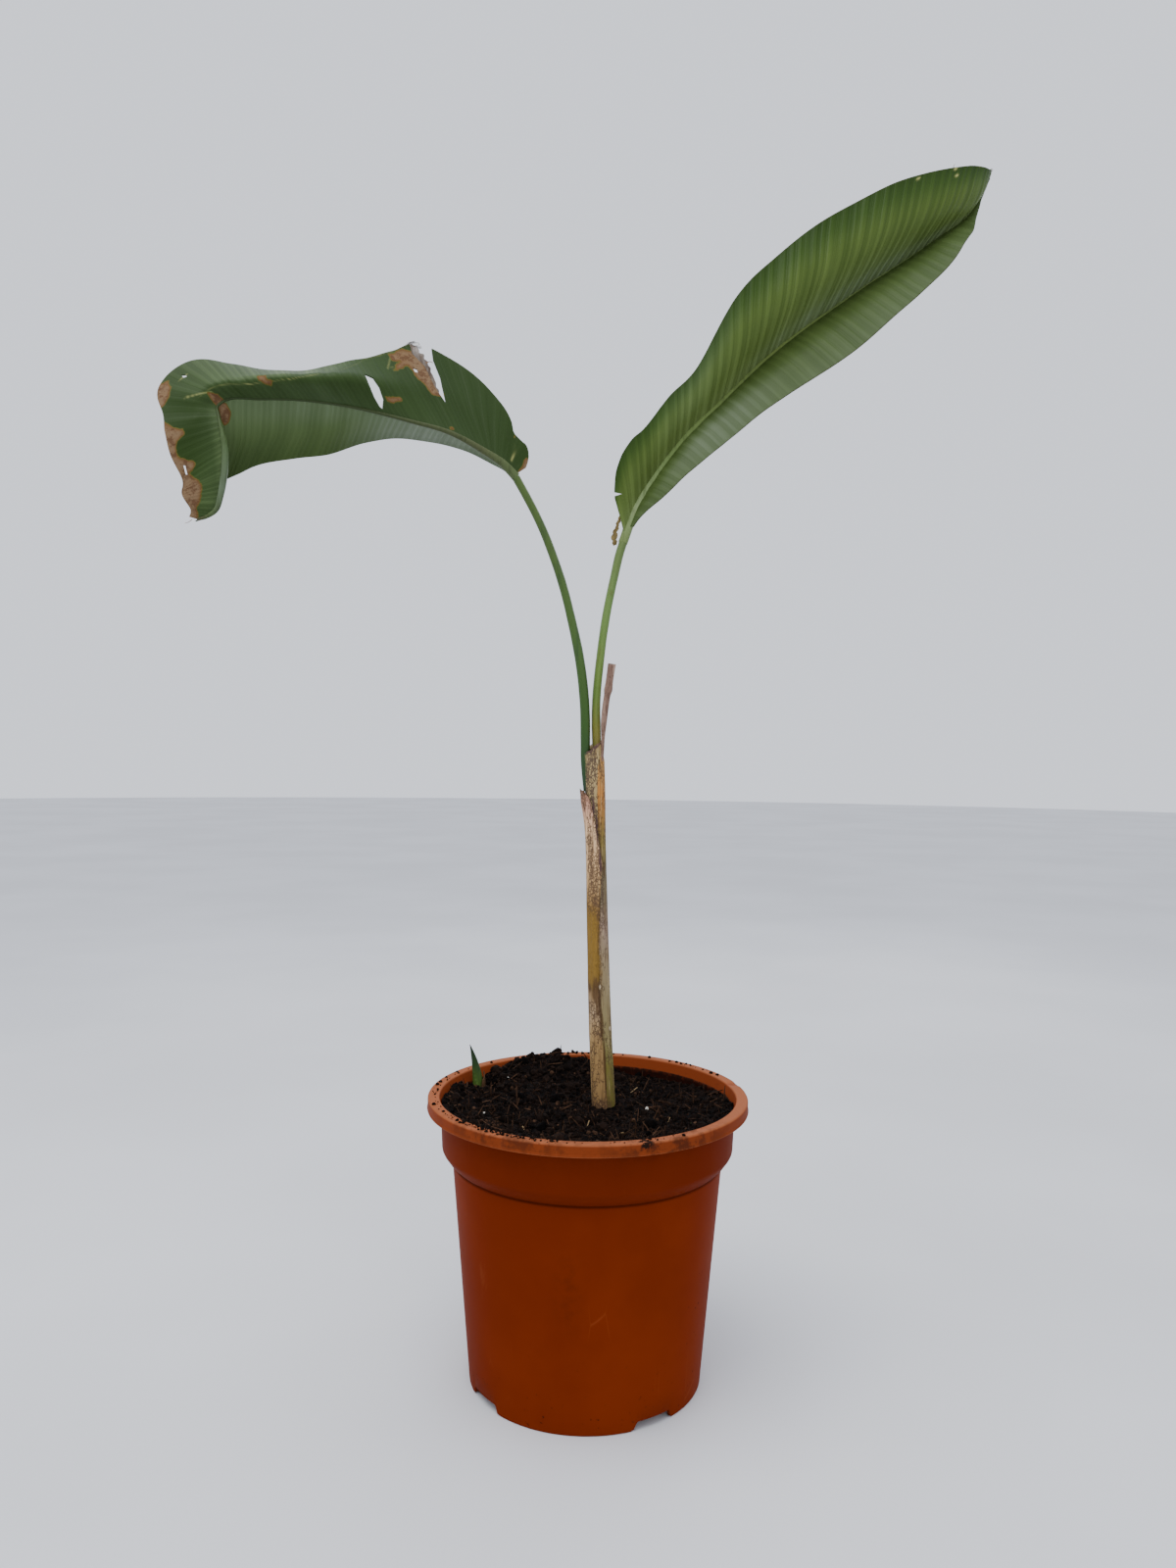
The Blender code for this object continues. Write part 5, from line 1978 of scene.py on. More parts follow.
    def rib(self, tool: StalkSweep) -> None:
        """The midrib: a channel on the upper side and a round keel on the underside.

        Args:
            tool: the stalk sweep.
        """
        places = np.linspace(0, self.rib_end, 170)
        path = smooth(along(self.midrib), places) * MM
        ahead = unit(np.gradient(path, axis=0))
        first, second = self.halves[0], self.halves[1]
        wide, other = (
            unit(np.diff(self.veins(half, np.clip(places, half.start, half.end))[:, :3], axis=1)[:, 0])
            for half in (first, second)
        )
        level = (1 - eased(second.end - 0.05, second.end, places))[:, None]
        up = unit(np.cross(ahead, unit(wide - level * other)))
        girth = smooth(self.rib_girth, places)[:, 0] * MM
        sunk = self.rib_sunk * girth * eased(0.0, 0.08, places)
        rail = rail_object(self.name + "_rib", path - up * sunk[:, None], girth, up)
        tool.run(rail, self.rib_finish.material(), Section_Sides=28, Groove_Depth=0.42, Groove_Start=0.2,
                 Ridges=9.0, Ridge_Height=0.012, Wobble=0.00012)
        soften(rail, 60)
        place(rail, Slot.LEAF, *self.nodes)

    @staticmethod
    def tear(thing: Thing, rents: tuple[Outline, ...]) -> None:
        """Cuts each (x, z) outline in millimetres through the sheet and drops what is inside it.

        Args:
            thing: the sheet.
            rents: the outlines.
        """
        shape = bmesh.new()
        shape.from_mesh(thing.data)
        for rent in rents:
            corners = list(np.reshape(rent, (-1, 2)) * MM)
            for a, b in zip(corners, corners[1:] + corners[:1]):
                run = b - a
                length = float(np.hypot(*run))
                ahead, aside = run / length, np.array([run[1], -run[0]]) / length
                near = []
                for face in shape.faces:
                    middle = face.calc_center_median()
                    away = np.array([middle.x, middle.z]) - a
                    if -0.0015 < away @ ahead < length + 0.0015 and abs(away @ aside) < 0.0025:
                        near.append(face)
                edges = {edge for face in near for edge in face.edges}
                corners_near = {corner for face in near for corner in face.verts}
                bmesh.ops.bisect_plane(shape, geom=[*near, *edges, *corners_near], plane_co=(a[0], 0.0, a[1]),
                                       plane_no=(aside[0], 0.0, aside[1]), dist=1e-6)
            dropped = [face for face in shape.faces if inside(corners, face.calc_center_median())]
            bmesh.ops.delete(shape, geom=dropped, context="FACES")
        loose = [corner for corner in shape.verts if not corner.link_faces]
        bmesh.ops.delete(shape, geom=loose, context="VERTS")
        shape.to_mesh(thing.data)
        shape.free()


def inside(corners: list[Array], point: Vector) -> bool:
    """Whether the point lies inside this outline in the XZ plane.

    Args:
        corners: the outline.
        point: the point to test.

    Returns:
        True inside.
    """
    found = False
    for (ax, az), (bx, bz) in zip(corners, corners[1:] + corners[:1]):
        if (az > point.z) != (bz > point.z) and point.x < (bx - ax) * (point.z - az) / (bz - az) + ax:
            found = not found
    return found


# In each skin the shaded and lit stops are painted shade and painted light, from the midrib (0) to the margin
# (1); where a pale colour is given at the end, it is that of the painted sheen.
RIGHT_UPPER_SKIN = LeafSkin("right_upper_top", 0.42, 0.08, shaded=(
    (0, (68, 84, 34)), (0.3, (56, 72, 26)), (0.62, (48, 66, 22)), (0.84, (38, 58, 18)), (1, (30, 50, 14)),
), lit=(
    (0, (122, 138, 86)), (0.3, (102, 120, 62)), (0.62, (86, 104, 48)), (0.84, (60, 82, 32)),
    (1, (46, 68, 22)),
), veins=48, depth=0.0011, bloom=(108, 122, 92))
RIGHT_LOWER_SKIN = LeafSkin("right_lower_top", 0.42, 0.09, shaded=(
    (0, (50, 66, 26)), (0.3, (50, 65, 28)), (1, (52, 67, 32)),
), lit=(
    (0, (74, 90, 44)), (0.3, (70, 86, 44)), (1, (74, 90, 52)),
), veins=52, depth=0.0006, bloom=(96, 106, 88))
LEFT_UPPER_SKIN = LeafSkin("left_upper_under", 0.44, 0.09, shaded=(
    (0, (40, 56, 26)), (0.4, (36, 53, 20)), (1, (35, 54, 17)),
), lit=(
    (0, (62, 80, 46)), (0.4, (56, 75, 38)), (1, (50, 70, 28)),
), veins=78, depth=0.0003, contrast=0.2, bloom=(94, 112, 70))
LEFT_LOWER_SKIN = LeafSkin("left_lower_under", 0.46, 0.1, shaded=(
    (0, (66, 83, 50)), (0.5, (58, 75, 38)), (1, (46, 63, 25)),
), lit=(
    (0, (94, 112, 76)), (0.5, (82, 100, 58)), (1, (68, 86, 42)),
), veins=78, depth=0.0004, contrast=0.22, bloom=(112, 122, 104))
RIGHT_BACK = LeafSkin("right_under", 0.5, 0.14, shaded=(
    (0, (64, 84, 46)), (1, (56, 78, 40)),
), lit=((0, (92, 112, 72)), (1, (82, 104, 62))), veins=50, depth=0.001)
LEFT_BACK = LeafSkin("left_upper_side", 0.42, 0.16, shaded=(
    (0, (50, 72, 26)), (1, (44, 70, 28)),
), lit=((0, (74, 98, 44)), (1, (64, 90, 42))), veins=80)


# Each row of veins: place along the midrib, length in millimetres, first and last bearing, first and last
# pitch in degrees, and the share of the length at which the blade folds.
RIGHT_UPPER_VEINS: Rows = (
    (0, 6, 98, 98, 10, 0, 0.45), (0.01, 23, 106, 106, 11, 0, 0.45), (0.02, 35, 103, 104, 12, 0, 0.45),
    (0.035, 42, 100, 100, 16, -1, 0.45), (0.06, 45, 95, 96, 20, -2, 0.45), (0.1, 41, 92, 94, 25, -5, 0.45),
    (0.17, 42, 86, 92, 30, -8, 0.45), (0.24, 42, 82, 90, 32, -10, 0.45), (0.32, 70, 78, 88, 34, -10, 0.45),
    (0.4, 77, 74, 86, 35, -12, 0.45), (0.5, 81, 68, 83, 35, -12, 0.45), (0.6, 81, 62, 80, 35, -12, 0.45),
    (0.7, 75, 57, 77, 33, -12, 0.45), (0.8, 61, 54, 74, 30, -12, 0.45), (0.88, 42, 55, 76, 25, -10, 0.45),
    (0.94, 22, 58, 80, 20, -8, 0.45), (1, 2, 62, 90, 0, 0, 0.45),
)
RIGHT_LOWER_VEINS: Rows = (
    (0, 2, 0, -10, 60, 50, 0.45), (0.04, 7, -10, -20, 62, 45, 0.45), (0.1, 20, -25, -35, 60, 40, 0.45),
    (0.17, 26, -38, -44, 56, 35, 0.45), (0.24, 30, -44, -50, 52, 30, 0.45),
    (0.32, 33, -46, -52, 50, 28, 0.45), (0.4, 39, -46, -52, 48, 28, 0.45),
    (0.5, 46, -46, -52, 48, 28, 0.45), (0.6, 45, -46, -52, 50, 30, 0.45), (0.7, 41, -46, -50, 54, 34, 0.45),
    (0.8, 33, -42, -46, 58, 42, 0.45), (0.86, 21, -38, -42, 58, 44, 0.45),
    (0.905, 7, -30, -36, 46, 34, 0.45), (0.94, 2.4, -24, -30, 24, 14, 0.45), (1, 1, 0, 0, 10, 10, 0.45),
)
LEFT_UPPER_VEINS: Rows = (
    (0, 4, 26, 28, -20, -30, 0.5), (0.006, 10, 39, 40, -20, -30, 0.5), (0.012, 18, 52, 54, -20, -30, 0.5),
    (0.02, 23, 62, 63, -20, -30, 0.5), (0.028, 23.5, 68, 70, -20, -30, 0.5),
    (0.036, 27, 80, 81, -20, -30, 0.5), (0.042, 33, 82, 83, -20, -30, 0.5),
    (0.05, 39, 85, 86, -20, -30, 0.5), (0.065, 50, 93, 93, -20, -30, 0.5),
    (0.09, 72, 108, 106, -18, -28, 0.5), (0.15, 80, 116, 115, -15, -25, 0.5),
    (0.22, 65, 120, 119, -8, -25, 0.5), (0.3, 51, 122, 120, 18, -34, 0.5),
    (0.37, 50, 124, 122, 46, -52, 0.5), (0.45, 50, 127, 125, 62, -64, 0.46),
    (0.53, 52, 131, 130, 64, -60, 0.38), (0.6, 52, 134, 131, 60, -48, 0.3),
    (0.66, 51, 147, 141, 48, -34, 0.24), (0.69, 48, 166, 162, 34, -26, 0.24),
    (0.715, 36, 184, 178, 20, -16, 0.3), (0.74, 34, 196, 192, 10, -8, 0.45),
    (0.77, 34, 204, 206, 4, -4, 0.5), (0.81, 31, 212, 213, 2, -4, 0.5), (0.86, 28, 202, 204, 0, -2, 0.5),
    (0.91, 21, 186, 188, 0, 0, 0.5), (0.955, 12, 172, 172, 0, 0, 0.5), (1, 2, 160, 160, 0, 0, 0.5),
)
LEFT_LOWER_VEINS: Rows = (
    (0, 5, 175, 172, -80, -80, 0.5), (0.05, 17, 170, 168, -80, -80, 0.5),
    (0.12, 25, 168, 165, -79, -79, 0.5), (0.2, 37, 178, 172, -74, -76, 0.5),
    (0.27, 33, 198, 192, -68, -72, 0.5), (0.34, 33, 222, 215, -60, -60, 0.5),
    (0.42, 38, 245, 232, -46, -42, 0.5), (0.5, 40, 256, 236, -28, -26, 0.5),
    (0.58, 44, 262, 240, -16, -14, 0.5), (0.65, 51, 265, 250, -12, -12, 0.5),
    (0.69, 50, 267, 266, -12, -12, 0.5), (0.72, 44, 262, 260, -30, -26, 0.5),
    (0.75, 34, 250, 242, -50, -40, 0.45), (0.78, 20, 232, 222, -65, -28, 0.38),
    (0.8, 12, 218, 208, -75, -14, 0.32), (0.86, 15, 215, 205, -75, -5, 0.3),
    (0.92, 14, 205, 200, -70, 0, 0.3), (0.98, 5, 200, 195, -40, 0, 0.3),
)
RIGHT_MIDRIB: Rows = (
    (18.8, 20, 549.8), (27, 21.4, 572.3), (41, 24, 596.5), (59.3, 27.4, 621.3), (83.8, 31.8, 646.7),
    (115.2, 37.4, 678.4), (173.1, 47.6, 724.4), (231.7, 57.7, 766.5), (259.2, 62.4, 789.1),
    (266.2, 63.6, 801.2), (274.5, 65, 818.8),
)
LEFT_MIDRIB: Rows = (
    (-51.6, 4, 588.8), (-60.5, 1.9, 597.6), (-71.7, -0.5, 604.5), (-94.1, -5.3, 615),
    (-117.4, -10.4, 620.2), (-160.5, -20, 627.4), (-184.8, -24.7, 628.8), (-208.6, -29.5, 627.7),
    (-231.1, -34, 624.6), (-234.4, -36, 620.7), (-232.8, -39, 613.9), (-228.3, -42, 594.2),
    (-228.8, -42, 577.3), (-230.8, -41.5, 565.6), (-234, -40.5, 556.4), (-239.6, -39.5, 552.4),
    (-249.6, -38, 550.3),
)
RIGHT_RIB_TONES: Stops = (
    (0, (100, 116, 66)), (0.06, (116, 132, 88)), (0.18, (98, 118, 62)), (0.45, (92, 108, 48)),
    (0.7, (78, 94, 42)), (1, (66, 84, 38)),
)
# The paler stops around 0.8 to 0.9 are partly the rib's own colour and partly a painted highlight on the
# rounded spine where the blade bends down.
LEFT_RIB_TONES: Stops = (
    (0, (78, 92, 54)), (0.1, (70, 76, 46)), (0.35, (54, 64, 34)), (0.66, (46, 60, 30)),
    (0.74, (54, 68, 34)), (0.8, (70, 88, 52)), (0.9, (88, 102, 78)), (0.97, (70, 84, 48)),
    (1, (66, 60, 38)),
)
# Each row: place along the midrib, place across, strength of the crease and of the painted light beyond it.
LEFT_RIDGE: Rows = (
    (0.19, 0.985, 0, 0), (0.21, 0.985, 0.25, 0), (0.3, 0.98, 0.2, 0), (0.4, 0.6, 0.2, 0.4),
    (0.445, 0.5, 0.35, 0.6), (0.511, 0.383, 0.5, 0.6), (0.592, 0.27, 0.55, 0.5), (0.66, 0.235, 0.5, 0.3),
    (0.69, 0.25, 0.35, 0.1), (0.703, 0.34, 0.1, 0), (0.715, 0.5, 0, 0),
)
# Each row: width of the soft edge in millimetres, strength, and the outline or line as x, z, x, z ...
LEFT_BURNS: tuple[PatchRow, ...] = (
    (2.2, 1, (-276, 636.5, -267.9, 638.4, -265.2, 634.1, -265.8, 626.5, -268.5, 620.8, -276, 619)),
    (2.4, 1, (
        -274, 616.5, -265.2, 608.8, -260.4, 606, -253.4, 604.9, -252.6, 602.4, -256.1, 598.6, -257.3, 595,
        -257.2, 591.2, -255.1, 586.7, -251.1, 585.7, -247.1, 585.7, -245.2, 583.4, -247.4, 580.1, -250,
        578.3, -247.1, 576.2, -243.6, 573.5, -241.8, 570.6, -242.2, 565.3, -243.8, 560.7, -245.6, 556.6,
        -245, 550, -252, 543, -262, 560, -270, 590,
    )),
    (1.6, 1, (-239.4, 628.4, -233.6, 628, -231.4, 625.3, -234.2, 621, -236.2, 622.6, -237.6, 624.6)),
    (1.8, 0.9, (
        -207.8, 637.8, -203.4, 638.4, -201.8, 635.8, -198, 635.6, -200.1, 633.3, -203.9, 633.9, -206.8,
        635.6,
    )),
    (2.6, 0.85, (
        -136, 668, -129, 674, -120, 673, -117, 664, -116.8, 657.8, -120.9, 658.5, -123.8, 660.4, -128.8,
        655.7, -131.3, 654, -130.3, 659.9, -128.9, 663.6, -134, 662.8,
    )),
    (1.8, 1, (
        -124.5, 668.3, -118.5, 670, -114, 664, -109, 656.4, -104, 649, -99.5, 641.5, -101.5, 639.8, -106.4,
        640.8, -109.5, 644.4, -112.5, 648.8, -116.6, 651.4, -120, 657.7,
    )),
    (2, 0.8, (
        -133.9, 633.8, -129.8, 634.5, -124.6, 634.9, -123.9, 632.5, -127.5, 631, -128.9, 629.4, -133, 630.8,
    )),
    (1.8, 0.9, (-60.5, 636, -55.3, 633, -54.4, 623.5, -52.8, 619.7, -54, 616, -50, 622, -54, 636)),
    (1.6, 1, (-50.5, 592.4, -48.2, 596, -46.6, 602.1, -41, 602, -42, 591, -47.6, 588)),
    (1.5, 0.75, (-94.9, 618.7, -91.7, 619.1, -90.9, 616, -94.3, 615.5)),
)
LEFT_CREASES: tuple[PatchRow, ...] = (
    (0.45, 0.6, (-52.2, 610.4, -54.9, 599.3)),
    (0.3, 0.45, (-134.7, 668.5, -134.9, 655.4)),
    (0.35, 0.45, (-133.4, 656.6, -131.8, 657.4)),
    (0.45, 0.45, (-259.6, 638.9, -255.8, 642.5)),
    (0.45, 0.45, (-254, 625.5, -246, 626.6, -237, 628.6)),
)
LEFT_RENTS: tuple[Outline, ...] = (
    (
        -128, 690, -113, 690, -108.6, 668.8, -103, 655.4, -97.8, 635.4, -105.1, 646, -113.4, 662.4, -122.3,
        671.6,
    ),
    (
        -146.2, 646, -141.3, 644.5, -137.3, 638.6, -134.9, 631.6, -135.8, 626.2, -137.2, 627.2, -140.2,
        632.1, -143.5, 640,
    ),
    (-259.6, 642.6, -256.4, 642.4, -255.4, 640.6, -257.8, 640.2),
    (-253.2, 583, -251.8, 583, -250.6, 577.6, -251.8, 577.4),
    (-120.6, 659.8, -117.8, 659.4, -116.6, 656.4, -118.8, 656.6),
)


def patches(kind: str, rows: tuple[PatchRow, ...]) -> tuple[Patch, ...]:
    """A patch, or a line for a crease, for each row."""
    return tuple(Patch(kind, outline, reach, strength, kind != "crease") for reach, strength, outline in rows)


def right_leaf() -> Leaf:
    """The upright right leaf, its upper side to the front.

    Returns:
        The leaf.
    """
    nicks = ((215.8, 800.6), (243.1, 811), (243.8, 806.3), (262.4, 817.6))
    upper = Half(
        "right_blade_upper", RIGHT_UPPER_VEINS, 0.012, 0.985, 0.3, 330, 56, 201,
        (RIGHT_BACK, RIGHT_UPPER_SKIN),
        marks=(
            # The first four marks are painted sheen.
            Mark("bloom", 0.66, 0.1, 0.3, 0.16, 0.95), Mark("bloom", 0.62, 0.2, 0.24, 0.2, 0.3),
            Mark("bloom", 0.93, 0.6, 0.1, 0.6, 0.3), Mark("bloom", 0.22, 0.65, 0.1, 0.5, 0.15),
            *patches("crease", tuple((0.7, 1.0, (x, z, x + 1.2, z + 0.9)) for x, z in nicks)),
            *patches("scorch", ((1.2, 1.0, (9.5, 570, 13, 570, 14.5, 562, 14, 556, 11.5, 558)),)),
        ),
        rents=((8, 583.9, 17.9, 581.4, 8, 579),),
    )
    lower = Half(
        "right_blade_lower", RIGHT_LOWER_VEINS, 0.03, 0.985, 0.3, 320, 36, 231,
        (RIGHT_LOWER_SKIN, RIGHT_BACK),
        # Both marks are painted sheen.
        marks=(Mark("bloom", 0.27, 0.65, 0.15, 0.55, 0.5), Mark("bloom", 0.55, 1.0, 0.3, 0.3, 0.12)),
    )
    return Leaf(
        "right", RIGHT_MIDRIB, (upper, lower),
        ((0, 3.2), (0.05, 3.3), (0.15, 3), (0.35, 2.4), (0.6, 1.8), (0.85, 1.1), (1, 0.5)),
        Stalk("rib_right", 0.44, 0.15, RIGHT_RIB_TONES, streak=(62, 76, 32), scars=0.1),
        0.985, ("right_leaf",), rib_sunk=-0.25,
    )


def left_leaf() -> Leaf:
    """The drooping, scorched left leaf, its underside to the front.

    Returns:
        The leaf.
    """
    upper = Half(
        "left_blade_upper", LEFT_UPPER_VEINS, 0.006, 0.985, 0.12, 350, 60, 261, (LEFT_UPPER_SKIN, LEFT_BACK),
        marks=(
            *patches("scorch", LEFT_BURNS), *patches("crease", LEFT_CREASES),
            # Besides the scorches and creases, the pale marks are painted sheen and the dark marks are
            # painted shade.
            Mark("bloom", 0.82, 0.0, 0.13, 0.22, 0.45), Mark("deep", 0.1, 0.6, 0.26, 1.2),
            Mark("deep", 0.73, 0.75, 0.09, 0.9, 0.9), Mark("bloom", 0.9, 0.5, 0.08, 0.6, 0.3),
            Mark("deep", 0.6, 0.9, 0.19, 0.6, 1.3), Mark("deep", 0.3, 0.3, 0.12, 0.5, 0.4),
        ),
        ridge=LEFT_RIDGE, rents=LEFT_RENTS, wave=0.0012,
    )
    lower = Half(
        "left_blade_lower", LEFT_LOWER_VEINS, 0.02, 0.975, 0.12, 330, 38, 291, (LEFT_BACK, LEFT_LOWER_SKIN),
        marks=(
            # Three marks of painted sheen, one of painted shade, then a scorch.
            Mark("bloom", 0.25, 0.4, 0.17, 0.9, 0.65), Mark("bloom", 0.46, 0.1, 0.24, 0.3, 0.2),
            Mark("bloom", 0.85, 0.0, 0.13, 0.5, 0.45), Mark("deep", 0.62, 0.9, 0.12, 0.6, 0.6),
            *patches("scorch", ((1.8, 1.0, (
                -235, 625, -229.4, 623.4, -227.6, 619, -228.9, 612.6, -231.3, 610.6, -233.5, 615.3,
                -234.6, 620.4,
            )),)),
        ),
    )
    return Leaf(
        "left", LEFT_MIDRIB, (upper, lower),
        ((0, 3), (0.05, 2.6), (0.15, 1.8), (0.35, 1.1), (0.6, 0.8), (0.72, 1), (0.82, 2.2),
         (0.92, 1.8), (1, 0.5)),
        Stalk("rib_left", 0.44, 0.15, LEFT_RIB_TONES, streak=(44, 54, 26), scar=(76, 50, 28), scars=0.5),
        0.985, ("left_leaf", "left_leaf_tip"),
    )


@dataclass
class Shreds:
    """Dry strips and threads that hang on the torn left blade, and hairs at the tips."""

    strips: tuple[tuple[str, str, Rows, Stops], ...] = (
        ("shred", "left_leaf", (
            (-125.5, 20.5, 680.5, 0.8), (-122.5, 19.5, 676, 2.6), (-118.5, 17, 670.5, 3.4),
            (-114.5, 14.5, 664, 3), (-110.5, 11.5, 656.5, 2.4), (-106.5, 9.5, 648, 1.7),
            (-103, 8, 641, 0.7),
        ), ((0.25, (56, 44, 36)), (0.5, (104, 92, 82)), (0.75, (160, 154, 148)))),
        ("shred_top", "left_leaf", (
            (-128, 20.5, 675.5, 0.7), (-125.5, 20, 680, 1.5), (-121, 19, 679.6, 1.6),
            (-116.5, 18.5, 676, 0.5),
        ), ((0.25, (120, 116, 112)), (0.5, (176, 176, 174)), (0.75, (214, 214, 212)))),
        ("shred_base", "right_leaf", (
            (17, 20, 568, 0.8), (15.2, 20, 561.5, 1.4), (13.2, 19.5, 555, 1.7), (13.6, 19.5, 548, 1),
        ), ((0.25, (70, 58, 34)), (0.5, (108, 92, 54)), (0.75, (140, 122, 78)))),
    )
    threads: tuple[tuple[str, Rows, float], ...] = (
        ("thread_tear", ((-112.4, 12.5, 664.6), (-109.8, 12, 665.4), (-107.6, 11.5, 664.4)), 0.35),
        ("hair_left_tip", ((-249, -38.2, 550.8), (-251.2, -38, 549.2), (-253.6, -37.6, 548.6)), 0.22),
        ("hair_right_tip", ((273.8, 64.8, 818.2), (274.9, 64.6, 819.6), (274.6, 64.4, 820.6)), 0.25),
        ("hair_right_edge", ((243, 47.4, 811.6), (242.4, 47, 813.4), (243.2, 46.8, 814.8)), 0.22),
    )

    def build(self, tool: StalkSweep) -> None:
        """The papery strip and the threads.

        Args:
            tool: the stalk sweep.
        """
        for name, node, places, stops in self.strips:
            self.strip(name, node, places, stops)
        for name, points_mm, radius in self.threads:
            rows = smooth(along(points_mm), np.linspace(0, 1, 14)) * MM
            facing = Stalks.turned(rows[:, :3], (0.0, -1.0, 0.1))
            rail = rail_object(name, rows[:, :3], np.linspace(1.0, 0.5, 14) * radius * MM, facing)
            tool.run(rail, Papery("thread", 0.85, 0.2).material(), Section_Sides=7, Ridge_Height=0.0)
            soften(rail)
            place(rail, Slot.DRY)

    def strip(self, name: str, node: str, places: Rows, stops: Stops) -> None:
        """One thin, twisted and ragged strip.

        Args:
            name: the piece's name.
            node: the node that it belongs to.
            places: x, y, z and half width along it, in millimetres.
            stops: its colours.
        """
        t = np.linspace(0, 1, 48)
        rows = smooth(along(places), t)
        path, half = rows[:, :3] * MM, rows[:, 3] * MM * (1 + 0.45 * wander(t, 0.06, len(places)))
        twist = np.radians(20 * np.sin(5 * t))
        side = np.stack([np.cos(twist), -np.sin(twist), 0.45 * np.cos(twist)], axis=-1)
        share = np.linspace(-1, 1, 9)
        points = path[:, None] + side[:, None] * (half[:, None] * share)[..., None]
        points[..., 1] -= 0.001 * (1 - share**2)[None] * np.sin(9 * t)[:, None]
        grid = np.broadcast_to(t[:, None], points.shape[:2])
        strip = sheet_object(name, Sheet(points, grid, np.broadcast_to(share[None], points.shape[:2])))
        thicken(strip, 0.0004, 0, Papery(f"{name}_dry", 0.85, 0.2, stops, 160.0))
        soften(strip, 60)
        place(strip, Slot.DRY, node)


# Side shoot


@dataclass(frozen=True)
class SpearSkin(Finish):
    """The rolled spear: pale at its foot, dark at its tip."""

    def paint(self, g: ShaderGraph) -> None:
        """Greens by height, with fine lines.

        Args:
            g: the material's graph.
        """
        _, _, height = g.axes()
        level = g.out("ShaderNodeMapRange", {"Value": height, "From Min": 0.172, "From Max": 0.205})
        colour = g.ramp(level, (
            (0, (112, 116, 62)), (0.22, (70, 94, 38)), (0.6, (38, 62, 28)), (1, (20, 34, 20)),
        ))
        lines = g.noise(900, 3, 0.6, (1, 1, 0.05))
        colour = g.tint(colour, g.step(lines, 0.5, 0.7), 0.5, (26, 46, 24))
        g.finish(colour, None, g.relief(lines, 0.6, 0.0005))


@dataclass
class SideShoot:
    """A rolled spear with a papery scale, and a tiny sprout."""

    place_xy: tuple[float, float] = (-0.0762, 0.044)
    foot: float = 0.1725
    height: float = 0.033
    girth: float = 0.0043
    lean: float = -0.0062
    taper: float = 0.95
    scale_height: float = 0.014
    sprout: tuple[float, float, float] = (0.0639, -0.0375, 0.174)

    def axis(self, share: Array) -> Array:
        """The spear's axis at these shares of its height.

        Args:
            share: shares of the height.

        Returns:
            The points.
        """
        x, y = self.place_xy
        rise = self.foot + self.height * share
        return np.stack([x + self.lean * share**2, np.full(share.shape, y), rise], axis=-1)

    def radius(self, share: Array) -> Array:
        """The spear's radius at these shares of its height."""
        return self.girth * (1 - self.taper * share**1.6)

    def spear(self, name: str, centres: Array, radii: Array) -> Thing:
        """A rolled leaf: its section is a spiral, which leaves a seam that winds up it.

        Args:
            name: the piece's name.
            centres: the axis.
            radii: the radius at each.

        Returns:
            The piece.
        """
        t = np.linspace(0, 1, len(radii))[:, None]
        angle = np.linspace(0, 2 * math.pi, 40, endpoint=False)[None]
        roll = (angle / (2 * math.pi) + 0.35 * t + 0.2) % 1.0
        reach = radii[:, None] * (0.86 + 0.14 * roll)
        rings = centres[:, None] + ring(reach, angle)
        thing = tube_object(name, rings)
        soften(thing, 60)
        dress(thing, SpearSkin("spear_green", 0.42, 0.15))
        return thing

    def build(self) -> None:
        """The spear, its scale and the sprout."""
        share = np.linspace(0, 1, 60)
        place(self.spear("shoot", self.axis(share), self.radius(share)), Slot.LEAF, "shoot")
        rows, columns = 30, 26
        across = np.linspace(-1, 1, columns)
        angle = np.radians(58 * across)[None] * np.ones((rows, 1))
        t = np.linspace(0, 1, rows)[:, None]
        peak = self.scale_height * (1 - 0.5 * np.abs(across)) * (1 + 0.1 * wander(across, 0.2, 71))
        level = peak[None] * t / self.height
        out = ring(1.0, angle)
        base = self.axis(level.ravel()).reshape(rows, columns, 3)
        reach = self.radius(level) + CLEAR + 0.001 * t**2 + 0.0002 * wander(angle * 30, 3, 72)
        fields: dict[str, Array] = {}
        u, v = np.broadcast_to(t, angle.shape), np.broadcast_to(across[None], angle.shape)
        inner = Sheet(base + out * reach[..., None], u, v, fields)
        outer = Sheet(base + out * (reach + 0.0005)[..., None], u, v, fields)
        scale = shell_object("shoot_scale", outer, inner)
        soften(scale, 60)
        dress(scale, Papery("scale_dry", 0.82, 0.12, (
            (0.2, (44, 28, 18)), (0.5, (84, 60, 40)), (0.8, (122, 92, 64)),
        )))
        place(scale, Slot.DRY, "shoot_scale")
        x, y, z = self.sprout
        centres = np.stack([x + 0.001 * share**2, np.full(60, y), z - 0.002 + 0.0065 * share], axis=-1)
        place(self.spear("sprout", centres, 0.0011 * (1 - 0.9 * share**1.4)), Slot.LEAF)


# Studio


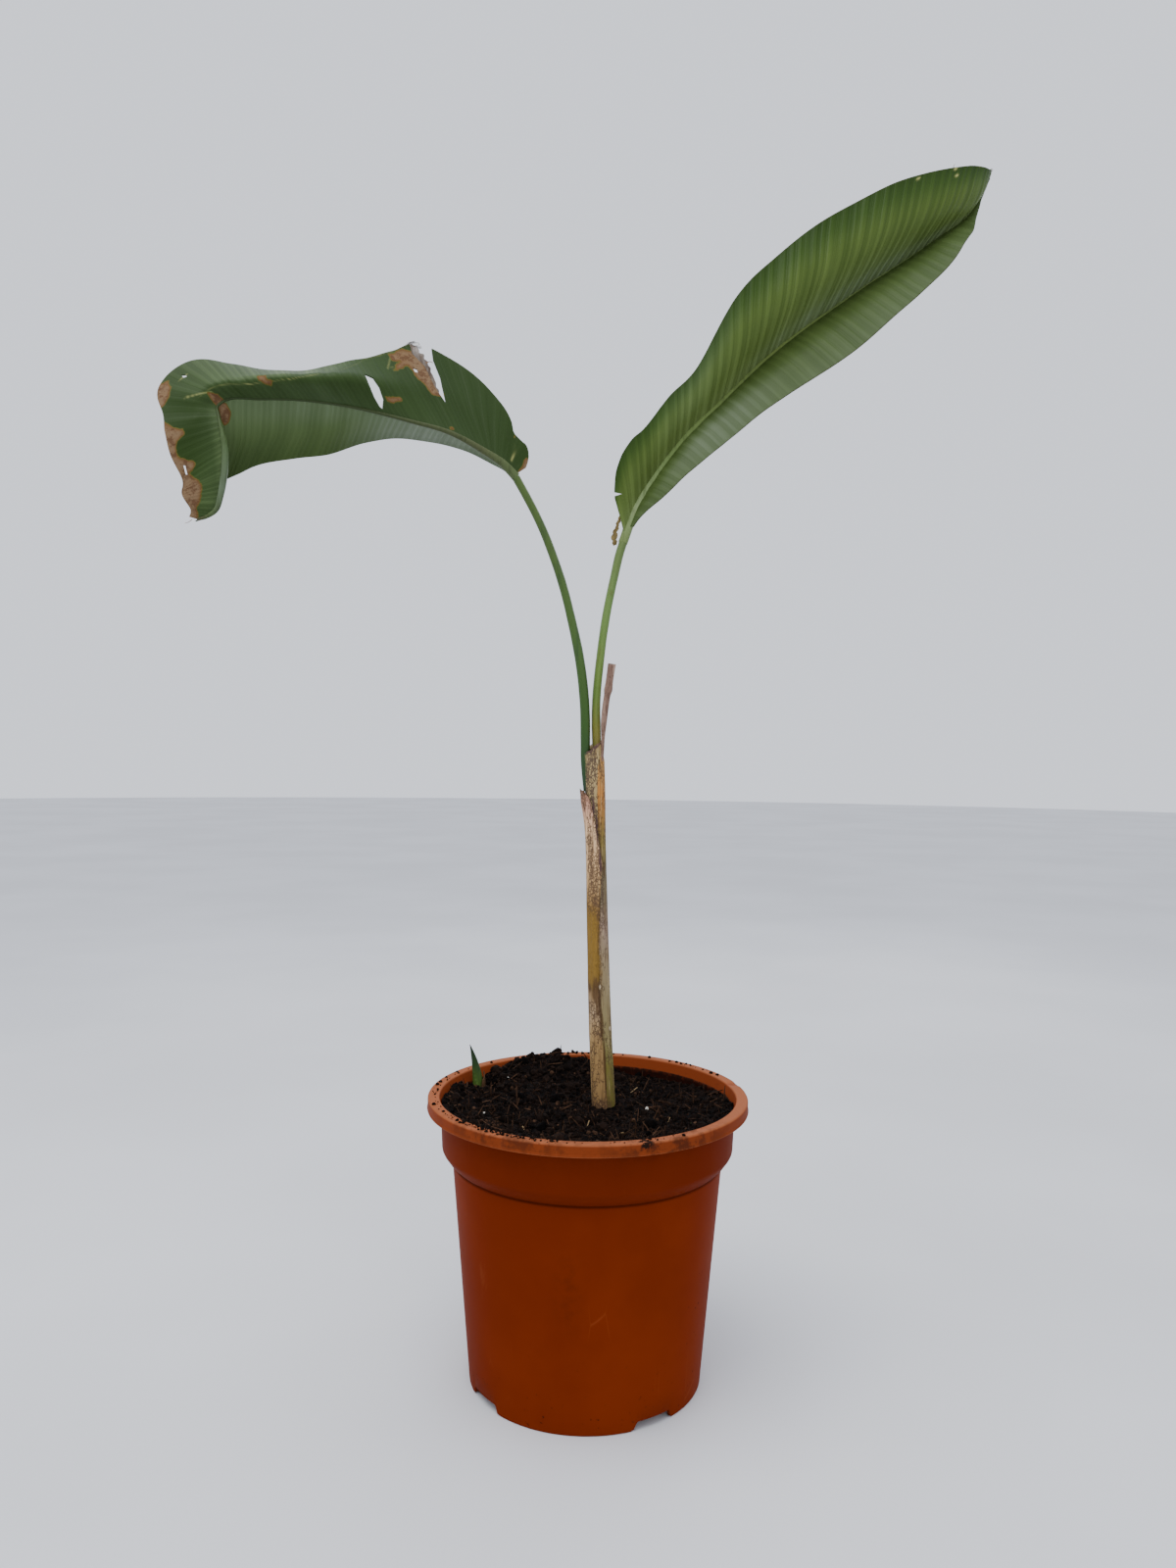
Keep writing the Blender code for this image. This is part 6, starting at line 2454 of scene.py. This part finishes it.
@dataclass
class Studio:
    """Pale floor, soft light and the camera."""

    camera_place: tuple[float, float, float] = (-0.0024, -0.7705, 0.4117)
    pitch: float = 0.0292
    roll: float = 0.0121
    focal: float = 1202.4
    frame_height: int = 1600
    sky: Colour = (204, 208, 217)
    lamps: tuple[tuple[str, tuple[float, float, float], tuple[float, float, float], float, float], ...] = (
        ("key", (-0.45, -0.55, 1.9), (0, 0, 0.45), 1.5, 24),
        ("front_fill", (0.7, -1.9, 0.9), (0, 0, 0.35), 1.4, 4),
        ("back_fill", (0.5, 1.6, 1.3), (0, 0, 0.4), 1.2, 6),
    )

    def build(self) -> None:
        """Makes the floor, the lights, the sky and the camera."""
        self.floor()
        for name, spot, target, size, power in self.lamps:
            light = bpy.data.lights.new(name, "AREA")
            light.shape, light.size, light.energy = "DISK", size, power
            lamp = linked(name, light)
            lamp.location = spot
            lamp.rotation_euler = (Vector(target) - Vector(spot)).to_track_quat("-Z", "Y").to_euler()
        world = bpy.data.worlds.new("pale_sky")
        world.use_nodes = True
        background = world.node_tree.nodes["Background"]
        background.inputs["Color"].default_value = linear_rgba(self.sky)
        background.inputs["Strength"].default_value = 1.76
        bpy.context.scene.world = world
        self.camera()

    def floor(self) -> None:
        """A wide round floor."""
        rings = ring(np.array([[0.2], [0.5], [1.5], [4.0], [9.0]]), around(96)[None], -0.0002)
        points = np.concatenate([[[0.0, 0.0, -0.0002]], rings.reshape(-1, 3)])
        faces = [(0, 1 + k, 1 + (k + 1) % 96) for k in range(96)]
        faces += (quads(5, 96, wrapped=True)[:, ::-1] + 1).tolist()
        thing = make_object("floor", points, faces, outwards=False)
        dress(thing, FloorPaint("floor_paint", 0.8, 0.2))

    def camera(self) -> None:
        """The camera at its viewing angle."""
        p, r = self.pitch, self.roll
        right, up = Vector((1, 0, 0)), Vector((0, math.sin(p), math.cos(p)))
        ahead = Vector((0, math.cos(p), -math.sin(p)))
        x_axis = math.cos(r) * right + math.sin(r) * up
        y_axis = math.cos(r) * up - math.sin(r) * right
        lens = bpy.data.cameras.new("camera")
        lens.sensor_width = 36.0
        lens.lens = self.focal * 36.0 / self.frame_height
        lens.clip_start, lens.clip_end = 0.01, 50.0
        camera = linked("camera", lens)
        turn = Matrix((x_axis, y_axis, -ahead)).transposed().to_4x4()
        camera.matrix_world = Matrix.Translation(self.camera_place) @ turn
        bpy.context.scene.camera = camera


def main() -> None:
    """Builds every piece in order."""
    logging.basicConfig(level=logging.INFO, format="%(message)s")
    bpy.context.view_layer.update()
    Studio().build()
    Pot().build()
    Compost().build()
    Pseudostem().build()
    sweep = StalkSweep()
    Stalks().build(sweep)
    right_leaf().build(sweep)
    left_leaf().build(sweep)
    Shreds().build(sweep)
    SideShoot().build()


if __name__ == "__main__":
    main()
